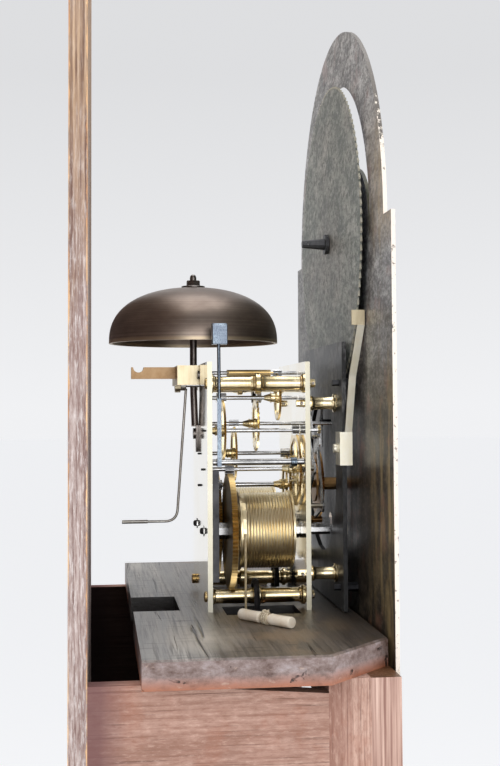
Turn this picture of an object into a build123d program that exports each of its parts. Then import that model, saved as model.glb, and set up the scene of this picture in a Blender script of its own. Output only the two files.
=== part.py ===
from build123d import *
import os
from math import asin, atan2, cos, hypot, pi, radians, sin, sqrt

# An eight-day longcase clock with its hood lifted off: case, seatboard, movement, bell, moon dial.
# +Z is up, the dial faces -Y, and the origin is on the floor under the middle of the case.
# All sizes are millimetres.

os.makedirs("parts", exist_ok=True)

# Driving dimensions of the case
CASE_HEIGHT = 2060.0
CASE_DEPTH = 236.0
TRUNK_WIDTH = 400.0
BASE_WIDTH = 470.0
PLINTH_WIDTH = 490.0
BASE_TOP = 560.0
THROAT_TOP = 1372.0
SEAT_TOP = 1500.0
BACKBOARD = 11.0
BOARD = 13.0

# Driving dimensions of the dial and the movement
DIAL_WIDTH = 355.0
ARCH_RADIUS = 157.0
DIAL_SHEET = 2.6
SHOULDER = 260.0
PLATE_WIDTH = 125.0
PLATE_HEIGHT = 171.0
PLATE = 3.4
FRONT_PLATE_REAR = 34.4
BACK_PLATE_FRONT = 99.2
PIVOT = 1.0
RUNNING = 0.05

# The dial's back is this far in front of the case's rear face.
DIAL_BACK_Y = CASE_DEPTH / 2 - 194.0
REAR_Y = CASE_DEPTH / 2
FRONT_Y = -CASE_DEPTH / 2
TRUNK_X = TRUNK_WIDTH / 2
BASE_X = BASE_WIDTH / 2
PLINTH_X = PLINTH_WIDTH / 2


def depth(behind_dial):
    """y of a point this far behind the dial's back."""
    return DIAL_BACK_Y + behind_dial


def height(above_seat):
    """z of a point this far above the seatboard's top."""
    return SEAT_TOP + above_seat


def facing(behind_dial, x=0.0, above_seat=0.0):
    """A plane that faces the front, with its local x to the right and its local y up."""
    return Plane(origin=(x, depth(behind_dial), height(above_seat)), x_dir=(1, 0, 0), z_dir=(0, -1, 0))


def keep(piece, label):
    piece.part.label = label
    export_step(piece.part, f"parts/{label}.step")


def board(x0, x1, y0, y1, z0, z1, mode=Mode.ADD):
    """A sawn board between two corners."""
    with BuildSketch(Plane.XY.offset(z0)) as face:
        with Locations(((x0 + x1) / 2, (y0 + y1) / 2)):
            Rectangle(x1 - x0, y1 - y0)
    extrude(face.sketch, amount=z1 - z0, mode=mode)


def plate_of(points, d_rear, thickness, mode=Mode.ADD):
    """A flat piece that faces the front, from its outline in x and height above the seatboard."""
    with BuildSketch(facing(d_rear)) as face:
        with BuildLine():
            Polyline(*points, close=True)
        make_face()
    extrude(face.sketch, amount=thickness, mode=mode)


def round_face(radius, mode=Mode.ADD, hole=False):
    """The section of a turned form, with flats round it. A hole's flats lie outside its radius."""
    sides = 6 if radius < 1.3 else 8 if radius < 4 else 12 if radius < 12 else 24
    inside = mode == Mode.ADD and not hole
    RegularPolygon(radius, sides, major_radius=inside, mode=mode)


def disc(x, above_seat, radius, d_rear, thickness, mode=Mode.ADD):
    """A rod, disc or hole along Y, from its rear end forwards."""
    with BuildSketch(facing(d_rear, x, above_seat)) as face:
        round_face(radius, hole=mode == Mode.SUBTRACT)
    extrude(face.sketch, amount=thickness, mode=mode)


def square(x, above_seat, side, d_rear, thickness, mode=Mode.ADD):
    with BuildSketch(facing(d_rear, x, above_seat)) as face:
        Rectangle(side, side)
    extrude(face.sketch, amount=thickness, mode=mode)


def stacked(sections, sides, hollow=False):
    """A turned piece with flats round it, from its (plane, radius) sections in order.

    A hollow one's sections run up its outside and back down its inside.
    """
    rings = []
    for plane, radius in sections:
        turns = [2 * pi * (step + 0.5) / sides for step in range(sides)]
        rings.append([plane.from_local_coords((radius * cos(t), radius * sin(t), 0)) for t in turns])
    faces = [] if hollow else [Face(Wire.make_polygon(rings[0])), Face(Wire.make_polygon(rings[-1]))]
    following = rings[1:] + rings[:1] if hollow else rings[1:]
    for ring, next_ring in zip(rings, following):
        for step in range(sides):
            corners = (ring[step - 1], ring[step], next_ring[step], next_ring[step - 1])
            faces.append(Face(Wire.make_polygon(corners)))
    add(Solid(Shell(faces)))


def turned(x, above_seat, profile, sides=8):
    """A piece turned about an axis along Y, from its (distance behind the dial, radius) corners."""
    stacked([(facing(d, x, above_seat), radius) for d, radius in profile], sides)


def upright(x, y, profile, sides=12):
    """A piece turned about an upright axis, from its (z, radius) corners."""
    stacked([(Plane(origin=(x, y, z)), radius) for z, radius in profile], sides)


def bar(start, end, start_width, end_width, d_rear, thickness, mode=Mode.ADD):
    """A flat tapering lever arm between two points in x and height."""
    along = atan2(end[1] - start[1], end[0] - start[0])
    side = (-sin(along), cos(along))
    corners = []
    for point, width, sign in (
        (start, start_width, 1), (end, end_width, 1), (end, end_width, -1), (start, start_width, -1),
    ):
        corners.append((point[0] + sign * side[0] * width / 2, point[1] + sign * side[1] * width / 2))
    plate_of(corners, d_rear, thickness, mode)


# Wheelwork. A tooth's corners: distance from the pitch circle in modules, and share of half the pitch.
TOOTH = ((-1.5, -1.0), (0.95, 0.0))
LEAF = ((-1.7, -1.0), (0.7, -0.18), (0.7, 0.18))


def gear_outline(teeth, module, phase, tooth):
    """Outline of a wheel or pinion, with one tooth centred at the phase angle."""
    outline = []
    for step in range(teeth):
        for rise, share in tooth:
            radius = (teeth / 2 + rise) * module
            angle = phase + (2 * step + share) * pi / teeth
            outline.append((radius * cos(angle), radius * sin(angle)))
    return outline


def meshed_phase(phase, teeth, centre, next_teeth, next_centre):
    """Phase of the next gear, so that its gap takes this gear's tooth."""
    toward = atan2(next_centre[1] - centre[1], next_centre[0] - centre[0])
    share = (toward - phase) * teeth / (2 * pi)
    return toward + pi - (0.5 - share) * 2 * pi / next_teeth


def wheel(centre, outline, d_rear, thickness, rim_radius, hub_radius, arms, arm_width, bore):
    """A crossed-out wheel: toothed rim, tapering arms and hub."""
    with BuildSketch(facing(d_rear, *centre)) as face:
        with BuildLine():
            Polyline(*outline, close=True)
        make_face()
        for arm in range(arms):
            start = 2 * pi * arm / arms
            span = 2 * pi / arms
            inner = asin(arm_width * 0.6 / hub_radius)
            outer = asin(arm_width * 0.4 / rim_radius)
            corners = []
            for step in range(2):
                angle = start + inner + (span - 2 * inner) * step
                corners.append((hub_radius * cos(angle), hub_radius * sin(angle)))
            for step in range(3):
                angle = start + span - outer - (span - 2 * outer) * step / 2
                corners.append((rim_radius * cos(angle), rim_radius * sin(angle)))
            with BuildLine():
                Polyline(*corners, close=True)
            make_face(mode=Mode.SUBTRACT)
        round_face(bore, Mode.SUBTRACT)
    extrude(face.sketch, amount=thickness)


def pinion(centre, teeth, module, phase, d_rear, length):
    """A pinion cut on its arbor."""
    with BuildSketch(facing(d_rear, *centre)) as face:
        with BuildLine():
            Polyline(*gear_outline(teeth, module, phase, LEAF), close=True)
        make_face()
    extrude(face.sketch, amount=length)


def arbor(centre, radius):
    """A steel arbor between the plates, with a pivot in each plate."""
    shoulder = 0.4
    rear = BACK_PLATE_FRONT - shoulder
    front = FRONT_PLATE_REAR + shoulder
    pivot = PIVOT - RUNNING
    profile = [
        (BACK_PLATE_FRONT + PLATE, pivot), (rear, pivot), (rear, radius), (front, radius),
        (front, pivot), (FRONT_PLATE_REAR - PLATE, pivot),
    ]
    turned(*centre, profile, 6)


# Places of the arbors, as x and height above the seatboard
GOING = (30.0, 52.0)
STRIKING = (-30.0, 52.0)
CENTRE = (0.0, 82.5)
ESCAPE = (0.0, 127.3)
PALLET = (0.0, 156.0)
PIN = (-29.0, 95.4)
MINUTE = (0.0, 56.0)
HAMMER = (-58.5, 101.6)
RACK_PIVOT, HOOK_PIVOT, LIFT_PIVOT = (-48.0, 70.0), (-12.0, 134.0), (-44.0, 96.0)
STUD, LEVER_STUD = 2.0, 1.8
LOWER_PILLAR = (46.0, 8.2)
PILLARS = ((-55.0, 156.0), (55.0, 156.0), (-46.0, 8.2), (46.0, 8.2))
FALSE_PILLARS = ((-55.0, 142.0), (55.0, 142.0), (-55.0, 24.0), (55.0, 24.0))
FALSE_PILLAR_END = 3.0


def span(a, b):
    return hypot(b[0] - a[0], b[1] - a[1])


def beside(a, b, from_a, from_b, side):
    """The point at given distances from two others, on the stated side of the line between them."""
    base = span(a, b)
    along = (base ** 2 + from_a ** 2 - from_b ** 2) / (2 * base)
    off = side * sqrt(from_a ** 2 - along ** 2)
    ux, uy = (b[0] - a[0]) / base, (b[1] - a[1]) / base
    return (a[0] + ux * along - uy * off, a[1] + uy * along + ux * off)


def above(a, distance, x_shift):
    return (a[0] + x_shift, a[1] + sqrt(distance ** 2 - x_shift ** 2))


# Going train: 96 to 8, 60 to 8, 56 to 7, and an escape wheel of 30
GOING_TEETH, CENTRE_TEETH, THIRD_TEETH, ESCAPE_TEETH = 96, 60, 56, 30
PINION_LEAVES, ESCAPE_LEAVES = 8, 7
going_module = 2 * span(GOING, CENTRE) / (GOING_TEETH + PINION_LEAVES)
centre_module = 0.68
third_module = 0.70
THIRD = beside(
    CENTRE, ESCAPE, centre_module * (CENTRE_TEETH + PINION_LEAVES) / 2,
    third_module * (THIRD_TEETH + ESCAPE_LEAVES) / 2, -1,
)

# Striking train: 84 to 8, 64 to 8, 56 to 8, 48 to 7, and the fly
STRIKE_TEETH, PIN_TEETH, GATHER_TEETH, WARNING_TEETH = 84, 64, 56, 48
FLY_LEAVES = 7
strike_module = 2 * span(STRIKING, PIN) / (STRIKE_TEETH + PINION_LEAVES)
pin_module, gather_module, warning_module = 0.80, 0.75, 0.65
GATHER = above(PIN, pin_module * (PIN_TEETH + PINION_LEAVES) / 2, -8.2)
WARNING = above(GATHER, gather_module * (GATHER_TEETH + PINION_LEAVES) / 2, 6.2)
FLY = above(WARNING, warning_module * (WARNING_TEETH + FLY_LEAVES) / 2, 2.0)

# Motion work: 40 to 40, then 6 to 72
MOTION_TEETH, MINUTE_LEAVES, HOUR_TEETH = 40, 6, 72
motion_module = span(CENTRE, MINUTE) / MOTION_TEETH
hour_module = 2 * span(CENTRE, MINUTE) / (MINUTE_LEAVES + HOUR_TEETH)

# Layers of the wheels, as distances of their rear faces behind the dial's back
STRIKE_WHEEL_D, GOING_WHEEL_D = 86.0, 91.0
GREAT_THICK = 4.0
PIN_WHEEL_D, CENTRE_WHEEL_D = 37.2, 39.3
THIRD_WHEEL_D, ESCAPE_WHEEL_D = 78.0, 62.0
GATHER_WHEEL_D, WARNING_WHEEL_D = 90.4, 50.0
MOTION_D, LIFT_D, LOCKING_D, RACK_D, SNAIL_D, HOUR_WHEEL_D = 28.8, 26.0, 23.6, 21.0, 18.6, 15.8
THIN = 1.5

# Phases that put every pair in mesh at rest
going_phase = 0.0
centre_pinion_phase = meshed_phase(going_phase, GOING_TEETH, GOING, PINION_LEAVES, CENTRE)
centre_phase = 0.0
third_pinion_phase = meshed_phase(centre_phase, CENTRE_TEETH, CENTRE, PINION_LEAVES, THIRD)
third_phase = 0.0
escape_pinion_phase = meshed_phase(third_phase, THIRD_TEETH, THIRD, ESCAPE_LEAVES, ESCAPE)
strike_phase = 0.0
pin_pinion_phase = meshed_phase(strike_phase, STRIKE_TEETH, STRIKING, PINION_LEAVES, PIN)
pin_phase = 0.0
gather_pinion_phase = meshed_phase(pin_phase, PIN_TEETH, PIN, PINION_LEAVES, GATHER)
gather_phase = 0.0
warning_pinion_phase = meshed_phase(gather_phase, GATHER_TEETH, GATHER, PINION_LEAVES, WARNING)
warning_phase = 0.0
fly_pinion_phase = meshed_phase(warning_phase, WARNING_TEETH, WARNING, FLY_LEAVES, FLY)
minute_phase = meshed_phase(0.0, MOTION_TEETH, CENTRE, MOTION_TEETH, MINUTE)
hour_phase = meshed_phase(minute_phase, MINUTE_LEAVES, MINUTE, HOUR_TEETH, CENTRE)


# The case

SEATBOARD = 17.0
SEAT_HALF = 216.0
STILE_REAR, STILE_FRONT = 20.0, 2.0
CHEEK_FRONT = 45.0
DOOR_X, DOOR_BOTTOM, DOOR_TOP, DOOR_RISE = 128.0, 640.0, 1262.0, 46.0
DOOR_GAP = 1.0

with BuildPart() as backboard:
    board(-BASE_X, BASE_X, REAR_Y - BACKBOARD, REAR_Y, 0, BASE_TOP - 40)
    board(-TRUNK_X, TRUNK_X, REAR_Y - BACKBOARD, REAR_Y, BASE_TOP - 40, CASE_HEIGHT)
keep(backboard, "backboard")

with BuildPart() as trunk_sides:
    for x0, x1 in ((-TRUNK_X, -TRUNK_X + BOARD), (TRUNK_X - BOARD, TRUNK_X)):
        board(x0, x1, depth(STILE_REAR), REAR_Y - BACKBOARD, BASE_TOP - 40, THROAT_TOP)
keep(trunk_sides, "trunk_sides")

# The cheeks stand on the trunk's sides and carry the seatboard: their top falls away to the front.
CHEEK_DROP = 8.0
with BuildPart() as cheeks:
    for side in (-1, 1):
        start = TRUNK_X if side > 0 else -TRUNK_X + BOARD
        with BuildSketch(Plane.YZ.offset(start)) as face:
            with BuildLine():
                Polyline(
                    (depth(CHEEK_FRONT), THROAT_TOP),
                    (REAR_Y - BACKBOARD, THROAT_TOP),
                    (REAR_Y - BACKBOARD, height(-SEATBOARD)),
                    (depth(150), height(-SEATBOARD)),
                    (depth(CHEEK_FRONT), height(-SEATBOARD - CHEEK_DROP)),
                    close=True,
                )
            make_face()
        extrude(face.sketch, amount=-BOARD)
keep(cheeks, "cheeks")

# Corner posts behind the front stiles, which hold the seatboard's front
POST_WIDTH = 32.0
with BuildPart() as corner_posts:
    for x0, x1 in ((-TRUNK_X, -TRUNK_X + POST_WIDTH), (TRUNK_X - POST_WIDTH, TRUNK_X)):
        board(x0, x1, depth(STILE_REAR), depth(CHEEK_FRONT), THROAT_TOP, height(-SEATBOARD))
keep(corner_posts, "corner_posts")

# The front frame: two stiles that narrow above the throat, and two rails round the door
STILE_TOP_WIDTH = 40.0
with BuildPart() as front_frame:
    with BuildSketch(Plane.XZ.offset(-depth(STILE_FRONT))) as face:
        with BuildLine():
            Polyline(
                (-TRUNK_X, BASE_TOP - 40), (TRUNK_X, BASE_TOP - 40),
                (TRUNK_X, height(-SEATBOARD)), (TRUNK_X - STILE_TOP_WIDTH, height(-SEATBOARD)),
                (TRUNK_X - STILE_TOP_WIDTH, THROAT_TOP + 18), (STILE_TOP_WIDTH - TRUNK_X, THROAT_TOP + 18),
                (STILE_TOP_WIDTH - TRUNK_X, height(-SEATBOARD)), (-TRUNK_X, height(-SEATBOARD)),
                close=True,
            )
        make_face()
        with BuildLine():
            Line((-DOOR_X, DOOR_BOTTOM), (DOOR_X, DOOR_BOTTOM))
            Line((DOOR_X, DOOR_BOTTOM), (DOOR_X, DOOR_TOP))
            ThreePointArc((DOOR_X, DOOR_TOP), (0, DOOR_TOP + DOOR_RISE), (-DOOR_X, DOOR_TOP))
            Line((-DOOR_X, DOOR_TOP), (-DOOR_X, DOOR_BOTTOM))
        make_face(mode=Mode.SUBTRACT)
    extrude(face.sketch, amount=STILE_FRONT - STILE_REAR)
keep(front_frame, "front_frame")

# The trunk door: a panel that fits the opening, with a lip that covers the frame's edge
DOOR_LIP, LIP_THICK = 8.0, 6.0
with BuildPart() as trunk_door:
    for grow, rear, front in (
        (-DOOR_GAP, STILE_REAR, STILE_FRONT - 0.4), (DOOR_LIP, STILE_FRONT - 0.4, STILE_FRONT - LIP_THICK),
    ):
        half = DOOR_X + grow
        with BuildSketch(Plane.XZ.offset(-depth(rear))) as face:
            with BuildLine():
                Line((-half, DOOR_BOTTOM - grow), (half, DOOR_BOTTOM - grow))
                Line((half, DOOR_BOTTOM - grow), (half, DOOR_TOP))
                ThreePointArc((half, DOOR_TOP), (0, DOOR_TOP + DOOR_RISE + grow), (-half, DOOR_TOP))
                Line((-half, DOOR_TOP), (-half, DOOR_BOTTOM - grow))
            make_face()
        extrude(face.sketch, amount=rear - front)
    lip = trunk_door.faces().sort_by(Axis.Y)[0].edges()
    chamfer(lip, length=3)
keep(trunk_door, "trunk_door")

# Two brass hinges: a knuckle and pin at the door's edge, with a leaf let on to the stile
HINGE_X, HINGE_D, HINGE_RADIUS = DOOR_X + DOOR_LIP + 5.0, -2.0, 3.2
HINGE_LENGTH = 60.0
HINGE_Z = (DOOR_BOTTOM + 110, DOOR_TOP - 110)
with BuildPart() as door_hinges:
    for z in HINGE_Z:
        low, high = z - HINGE_LENGTH / 2, z + HINGE_LENGTH / 2
        upright(HINGE_X, depth(HINGE_D), [(low, HINGE_RADIUS), (high, HINGE_RADIUS)])
        board(HINGE_X, HINGE_X + 24, depth(0.4), depth(STILE_FRONT), low, high)
keep(door_hinges, "door_hinges")

# The lock: its brass box behind the door's left edge, the scutcheon and the key's pipe
LOCK_Z = (DOOR_BOTTOM + DOOR_TOP) / 2 + 40
with BuildPart() as door_lock:
    board(-DOOR_X + 8, -DOOR_X + 44, depth(STILE_REAR), depth(STILE_REAR + 9), LOCK_Z - 30, LOCK_Z + 30)
    with BuildSketch(Plane.XZ.offset(-depth(STILE_FRONT - LIP_THICK))) as face:
        with BuildLine(Location((-DOOR_X + 26, LOCK_Z, 0))):
            Polyline((-9, 0), (0, -15), (9, 0), (0, 15), close=True)
        make_face()
        with Locations((-DOOR_X + 26, LOCK_Z + 2)):
            round_face(2.4, Mode.SUBTRACT)
        with Locations((-DOOR_X + 26, LOCK_Z - 3)):
            Rectangle(2, 8, mode=Mode.SUBTRACT)
    extrude(face.sketch, amount=1.2)
keep(door_lock, "door_lock")


def moulding(half_width, front_y, z, outline):
    """A mitred moulding round the front and both sides, from its (z, projection) outline."""
    with BuildLine() as route:
        Polyline(
            (-half_width, REAR_Y - BACKBOARD, z), (-half_width, front_y, z),
            (half_width, front_y, z), (half_width, REAR_Y - BACKBOARD, z),
        )
    start = Plane(origin=(-half_width, REAR_Y - BACKBOARD, z), x_dir=(0, 0, 1), z_dir=(0, -1, 0))
    with BuildSketch(start) as section:
        with BuildLine():
            outline()
        make_face()
    sweep(section.sketch, path=route.wire(), transition=Transition.RIGHT)


THROAT_HEIGHT, THROAT_REACH = 46.0, 34.0
TRUNK_FRONT_Y = depth(STILE_FRONT)


def throat_outline():
    """Cove under a square fillet, on which the hood slides."""
    Line((0, 0), (0, 6))
    ThreePointArc((0, 6), (10, 20), (THROAT_HEIGHT - 12, THROAT_REACH - 4))
    Polyline(
        (THROAT_HEIGHT - 12, THROAT_REACH - 4), (THROAT_HEIGHT - 12, THROAT_REACH),
        (THROAT_HEIGHT, THROAT_REACH), (THROAT_HEIGHT, 0), (0, 0),
    )


with BuildPart() as throat_moulding:
    moulding(TRUNK_X, TRUNK_FRONT_Y, THROAT_TOP - THROAT_HEIGHT, throat_outline)
keep(throat_moulding, "throat_moulding")

WAIST_HEIGHT = 40.0


def waist_outline():
    """Cove and fillet between the trunk and the wider base."""
    reach = BASE_X - TRUNK_X + 4
    Polyline((0, 0), (0, reach), (10, reach), (10, reach - 4))
    ThreePointArc((10, reach - 4), (22, 14), (WAIST_HEIGHT, 4))
    Polyline((WAIST_HEIGHT, 4), (WAIST_HEIGHT, 0), (0, 0))


with BuildPart() as waist_moulding:
    moulding(TRUNK_X, TRUNK_FRONT_Y, BASE_TOP - WAIST_HEIGHT, waist_outline)
keep(waist_moulding, "waist_moulding")

BASE_FRONT_Y = FRONT_Y + 10.0
with BuildPart() as base_front:
    board(-BASE_X, BASE_X, BASE_FRONT_Y, BASE_FRONT_Y + 16, 20, BASE_TOP - WAIST_HEIGHT)
keep(base_front, "base_front")

# The base's two sides and its floor
with BuildPart() as base_sides:
    for x0, x1 in ((-BASE_X, -BASE_X + BOARD), (BASE_X - BOARD, BASE_X)):
        board(x0, x1, BASE_FRONT_Y + 16, REAR_Y - BACKBOARD, 20, BASE_TOP - WAIST_HEIGHT)
    board(-BASE_X + BOARD, BASE_X - BOARD, BASE_FRONT_Y + 16, REAR_Y - BACKBOARD, 40, 52)
keep(base_sides, "base_sides")

PLINTH_HEIGHT = 78.0
with BuildPart() as plinth:
    with BuildSketch(Plane.XY) as face:
        Rectangle(PLINTH_WIDTH, CASE_DEPTH)
        with Locations((0, (REAR_Y + BASE_FRONT_Y) / 2 + 0.5)):
            Rectangle(BASE_WIDTH, REAR_Y - BASE_FRONT_Y + 1, mode=Mode.SUBTRACT)
    extrude(face.sketch, amount=PLINTH_HEIGHT)
    top_edges = plinth.faces().sort_by(Axis.Z)[-1].edges()
    front_edge = top_edges.filter_by(lambda e: abs(e.center().Y - FRONT_Y) < 1)
    side_edges = top_edges.filter_by(lambda e: abs(abs(e.center().X) - PLINTH_X) < 1)
    chamfer(front_edge + side_edges, length=6)
keep(plinth, "plinth")


# The seatboard, with its front corners cut off, the pendulum's slot and the two line slots

# Both lines leave their barrel on its left side, so both keys turn clockwise.
LINE_SLOTS = ((-75.0, -40.0), (-8.0, 22.0))
SLOT_D = (40.0, 91.0)
FALL_D, PEG_D, FALL_TO_PEG = 76.0, 69.4, 55.7
LINE_PATHS = ((-56.8, -56.8 - FALL_TO_PEG), (3.2, 3.2 + FALL_TO_PEG))
PENDULUM_SLOT = (-51.0, 12.0, 121.0)
HOOK_ROD, HOOK_BEND, HOOK_CORNERS = 2.2, 9.8, 6
HOOK_PLACES = ((-1, 68.0), (1, 41.0))
with BuildPart() as seatboard:
    with BuildSketch(Plane.XY.offset(height(-SEATBOARD))) as face:
        with BuildLine():
            Polyline(
                (-SEAT_HALF, depth(153)), (-SEAT_HALF, depth(46)), (-168, depth(2.4)), (168, depth(2.4)),
                (SEAT_HALF, depth(46)), (SEAT_HALF, depth(153)), (PENDULUM_SLOT[1], depth(153)),
                (PENDULUM_SLOT[1], depth(PENDULUM_SLOT[2])), (PENDULUM_SLOT[0], depth(PENDULUM_SLOT[2])),
                (PENDULUM_SLOT[0], depth(153)), close=True,
            )
        make_face()
        for x0, x1 in LINE_SLOTS:
            with Locations(((x0 + x1) / 2, depth(sum(SLOT_D) / 2))):
                Rectangle(x1 - x0, SLOT_D[1] - SLOT_D[0], mode=Mode.SUBTRACT)
        for fall_x, peg_x in LINE_PATHS:
            with Locations((peg_x, depth(PEG_D))):
                round_face(2.6, Mode.SUBTRACT)
        with Locations((LOWER_PILLAR[0] + HOOK_BEND, depth(HOOK_PLACES[1][1]))):
            round_face(3, Mode.SUBTRACT)
    extrude(face.sketch, amount=SEATBOARD)
    rim = seatboard.faces().sort_by(Axis.Z)[-1].outer_wire().edges()
    chamfer(rim.filter_by(lambda e: e.center().Y < depth(100)), length=1.2)
keep(seatboard, "seatboard")

# Two hooks over the lower pillars, each drawn down by a nut and a strap under the board
STRAP_DROP, HOOK_END = 3.0, -34.0
with BuildPart() as seat_hooks:
    for side, hook_d in HOOK_PLACES:
        pillar_x, pillar_h = side * LOWER_PILLAR[0], LOWER_PILLAR[1]
        shank_x, tip_x = pillar_x + side * HOOK_BEND, pillar_x - side * HOOK_BEND
        corners = [(shank_x, HOOK_END)]
        for step in range(HOOK_CORNERS):
            angle = pi * (step + 0.5) / HOOK_CORNERS
            reach = HOOK_BEND / cos(pi / 2 / HOOK_CORNERS)
            corners.append((pillar_x + side * reach * cos(angle), pillar_h + reach * sin(angle)))
        corners.append((tip_x, 2.0))
        with BuildLine() as route:
            Polyline(*[(x, depth(hook_d), height(above_seat)) for x, above_seat in corners])
        with BuildSketch(Plane(origin=(shank_x, depth(hook_d), height(HOOK_END)), z_dir=(0, 0, 1))) as section:
            RegularPolygon(HOOK_ROD, 6)
        sweep(section.sketch, path=route.wire(), transition=Transition.RIGHT)
        under = height(-SEATBOARD)
        board(
            shank_x - 22, shank_x + 22, depth(hook_d - 7), depth(hook_d + 5), under - STRAP_DROP, under,
        )
        with BuildSketch(Plane(origin=(shank_x, depth(hook_d), under - STRAP_DROP - 5))) as nut:
            RegularPolygon(6, 4)
        extrude(nut.sketch, amount=5)
keep(seat_hooks, "seat_hooks")


# The movement's frame: two plates, four turned pillars and the taper pins through their ends

HALF_PLATE = PLATE_WIDTH / 2
BACK_PLATE_D = BACK_PLATE_FRONT + PLATE
FRONT_PLATE_FACE = FRONT_PLATE_REAR - PLATE
PILLAR_END = 3.6
BARREL_HOLE_REAR, BARREL_HOLE_FRONT = 4.0, 5.4


def clock_plate(d_rear, barrel_hole):
    with BuildSketch(facing(d_rear, 0, PLATE_HEIGHT / 2)) as face:
        Rectangle(PLATE_WIDTH, PLATE_HEIGHT)
    extrude(face.sketch, amount=PLATE)
    for x, above_seat in PILLARS:
        disc(x, above_seat, PILLAR_END, d_rear, PLATE, Mode.SUBTRACT)
    for x, above_seat in (THIRD, PIN, WARNING, FLY):
        disc(x, above_seat, PIVOT, d_rear, PLATE, Mode.SUBTRACT)
    for x, above_seat in (GOING, STRIKING):
        disc(x, above_seat, barrel_hole, d_rear, PLATE, Mode.SUBTRACT)


with BuildPart() as back_plate:
    clock_plate(BACK_PLATE_D, BARREL_HOLE_REAR)
    for x, above_seat in (CENTRE, ESCAPE, GATHER, HAMMER):
        disc(x, above_seat, PIVOT, BACK_PLATE_D, PLATE, Mode.SUBTRACT)
    disc(*PALLET, 6.0, BACK_PLATE_D, PLATE, Mode.SUBTRACT)
keep(back_plate, "back_plate")

CENTRE_ARBOR, MINUTE_PINION_REAR = 1.9, 19.0
with BuildPart() as front_plate:
    clock_plate(FRONT_PLATE_REAR, BARREL_HOLE_FRONT)
    disc(*CENTRE, CENTRE_ARBOR + RUNNING, FRONT_PLATE_REAR, PLATE, Mode.SUBTRACT)
    for x, above_seat in (PALLET, HAMMER):
        disc(x, above_seat, PIVOT, FRONT_PLATE_REAR, PLATE, Mode.SUBTRACT)
    for x, above_seat in (ESCAPE, GATHER):
        disc(x, above_seat, 1.5, FRONT_PLATE_REAR, PLATE, Mode.SUBTRACT)
    for x, above_seat in FALSE_PILLARS:
        disc(x, above_seat, FALSE_PILLAR_END, FRONT_PLATE_REAR, PLATE, Mode.SUBTRACT)
    # Riveted studs for the motion work and the striking levers
    for place, radius, tip in (
        (RACK_PIVOT, LEVER_STUD, 18.8), (HOOK_PIVOT, LEVER_STUD, 21.4), (LIFT_PIVOT, LEVER_STUD, 23.8),
        (MINUTE, STUD, MINUTE_PINION_REAR + 0.6),
    ):
        disc(*place, radius, FRONT_PLATE_FACE, FRONT_PLATE_FACE - tip)
keep(front_plate, "front_plate")


def pin_across(x, above_seat, d, radius, length, mode=Mode.ADD):
    """A pin or pin hole that lies along X."""
    with BuildSketch(Plane.YZ.offset(x - length / 2)) as face:
        with Locations((depth(d), height(above_seat))):
            RegularPolygon(radius, 6, major_radius=mode == Mode.ADD)
    extrude(face.sketch, amount=length, mode=mode)


PIN_RADIUS, PIN_D, PIN_LENGTH = 1.0, FRONT_PLATE_FACE - 2.1, 17.0
with BuildPart() as plate_pillars:
    for x, above_seat in PILLARS:
        middle = (BACK_PLATE_FRONT + FRONT_PLATE_REAR) / 2
        profile = [
            (BACK_PLATE_D + 0.6, PILLAR_END), (BACK_PLATE_FRONT, PILLAR_END), (BACK_PLATE_FRONT, 6.8),
            (BACK_PLATE_FRONT - 3, 4.9), (middle + 3, 4.9), (middle, 7.2), (middle - 3, 4.9),
            (FRONT_PLATE_REAR + 3, 4.9), (FRONT_PLATE_REAR, 6.8), (FRONT_PLATE_REAR, PILLAR_END),
            (FRONT_PLATE_FACE - 4.6, 3.0),
        ]
        turned(x, above_seat, profile)
        pin_across(x, above_seat, PIN_D, PIN_RADIUS + RUNNING, 10, Mode.SUBTRACT)
keep(plate_pillars, "plate_pillars")

# The false plate's pillars are pinned behind the front plate.
FALSE_REAR, FALSE_FRONT = 12.0, 9.0
FALSE_PIN_D = FRONT_PLATE_REAR + 1.9
with BuildPart() as plate_pins:
    for x, above_seat in PILLARS:
        pin_across(x, above_seat, PIN_D, PIN_RADIUS, PIN_LENGTH)
    for x, above_seat in FALSE_PILLARS:
        pin_across(x, above_seat, FALSE_PIN_D, PIN_RADIUS, PIN_LENGTH - 4)
keep(plate_pins, "plate_pins")

# The back cock: two feet and walls, a bridge for the pallet arbor, and the slotted suspension arm
COCK_X, COCK_LOW, COCK_TOP = 30.0, 155.6, 169.5
BRIDGE_FRONT, BRIDGE_REAR = 117.0, 121.0
ARM_REAR, NOTCH_D, NOTCH_RADIUS = 153.0, 147.8, 3.8


def block(x0, x1, d0, d1, h0, h1, mode=Mode.ADD):
    board(x0, x1, depth(d0), depth(d1), height(h0), height(h1), mode)


with BuildPart() as back_cock:
    block(-COCK_X, COCK_X, BRIDGE_FRONT, BRIDGE_REAR, COCK_LOW, COCK_TOP)
    disc(*PALLET, 5.5, BRIDGE_REAR, BRIDGE_REAR - BRIDGE_FRONT)
    for side in (-1, 1):
        outer, inner = side * COCK_X, side * (COCK_X - 4)
        block(min(outer, inner), max(outer, inner), BACK_PLATE_D, BRIDGE_FRONT, COCK_LOW, COCK_TOP)
        foot = side * (COCK_X + 10)
        block(min(outer, foot), max(outer, foot), BACK_PLATE_D, BACK_PLATE_D + 3, COCK_LOW, COCK_TOP)
    block(-4.5, 4.5, BRIDGE_REAR, ARM_REAR, 160.5, COCK_TOP - 0.5)
    with BuildSketch(Plane.YZ.offset(-6)) as notch:
        with Locations((depth(NOTCH_D), height(COCK_TOP - 0.5))):
            Circle(NOTCH_RADIUS)
    extrude(notch.sketch, amount=12, mode=Mode.SUBTRACT)
    block(-0.5, 0.5, 140, ARM_REAR + 1, 159, COCK_TOP + 1, Mode.SUBTRACT)
    disc(*PALLET, PIVOT, BRIDGE_REAR, BRIDGE_REAR - BRIDGE_FRONT, Mode.SUBTRACT)
keep(back_cock, "back_cock")

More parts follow.
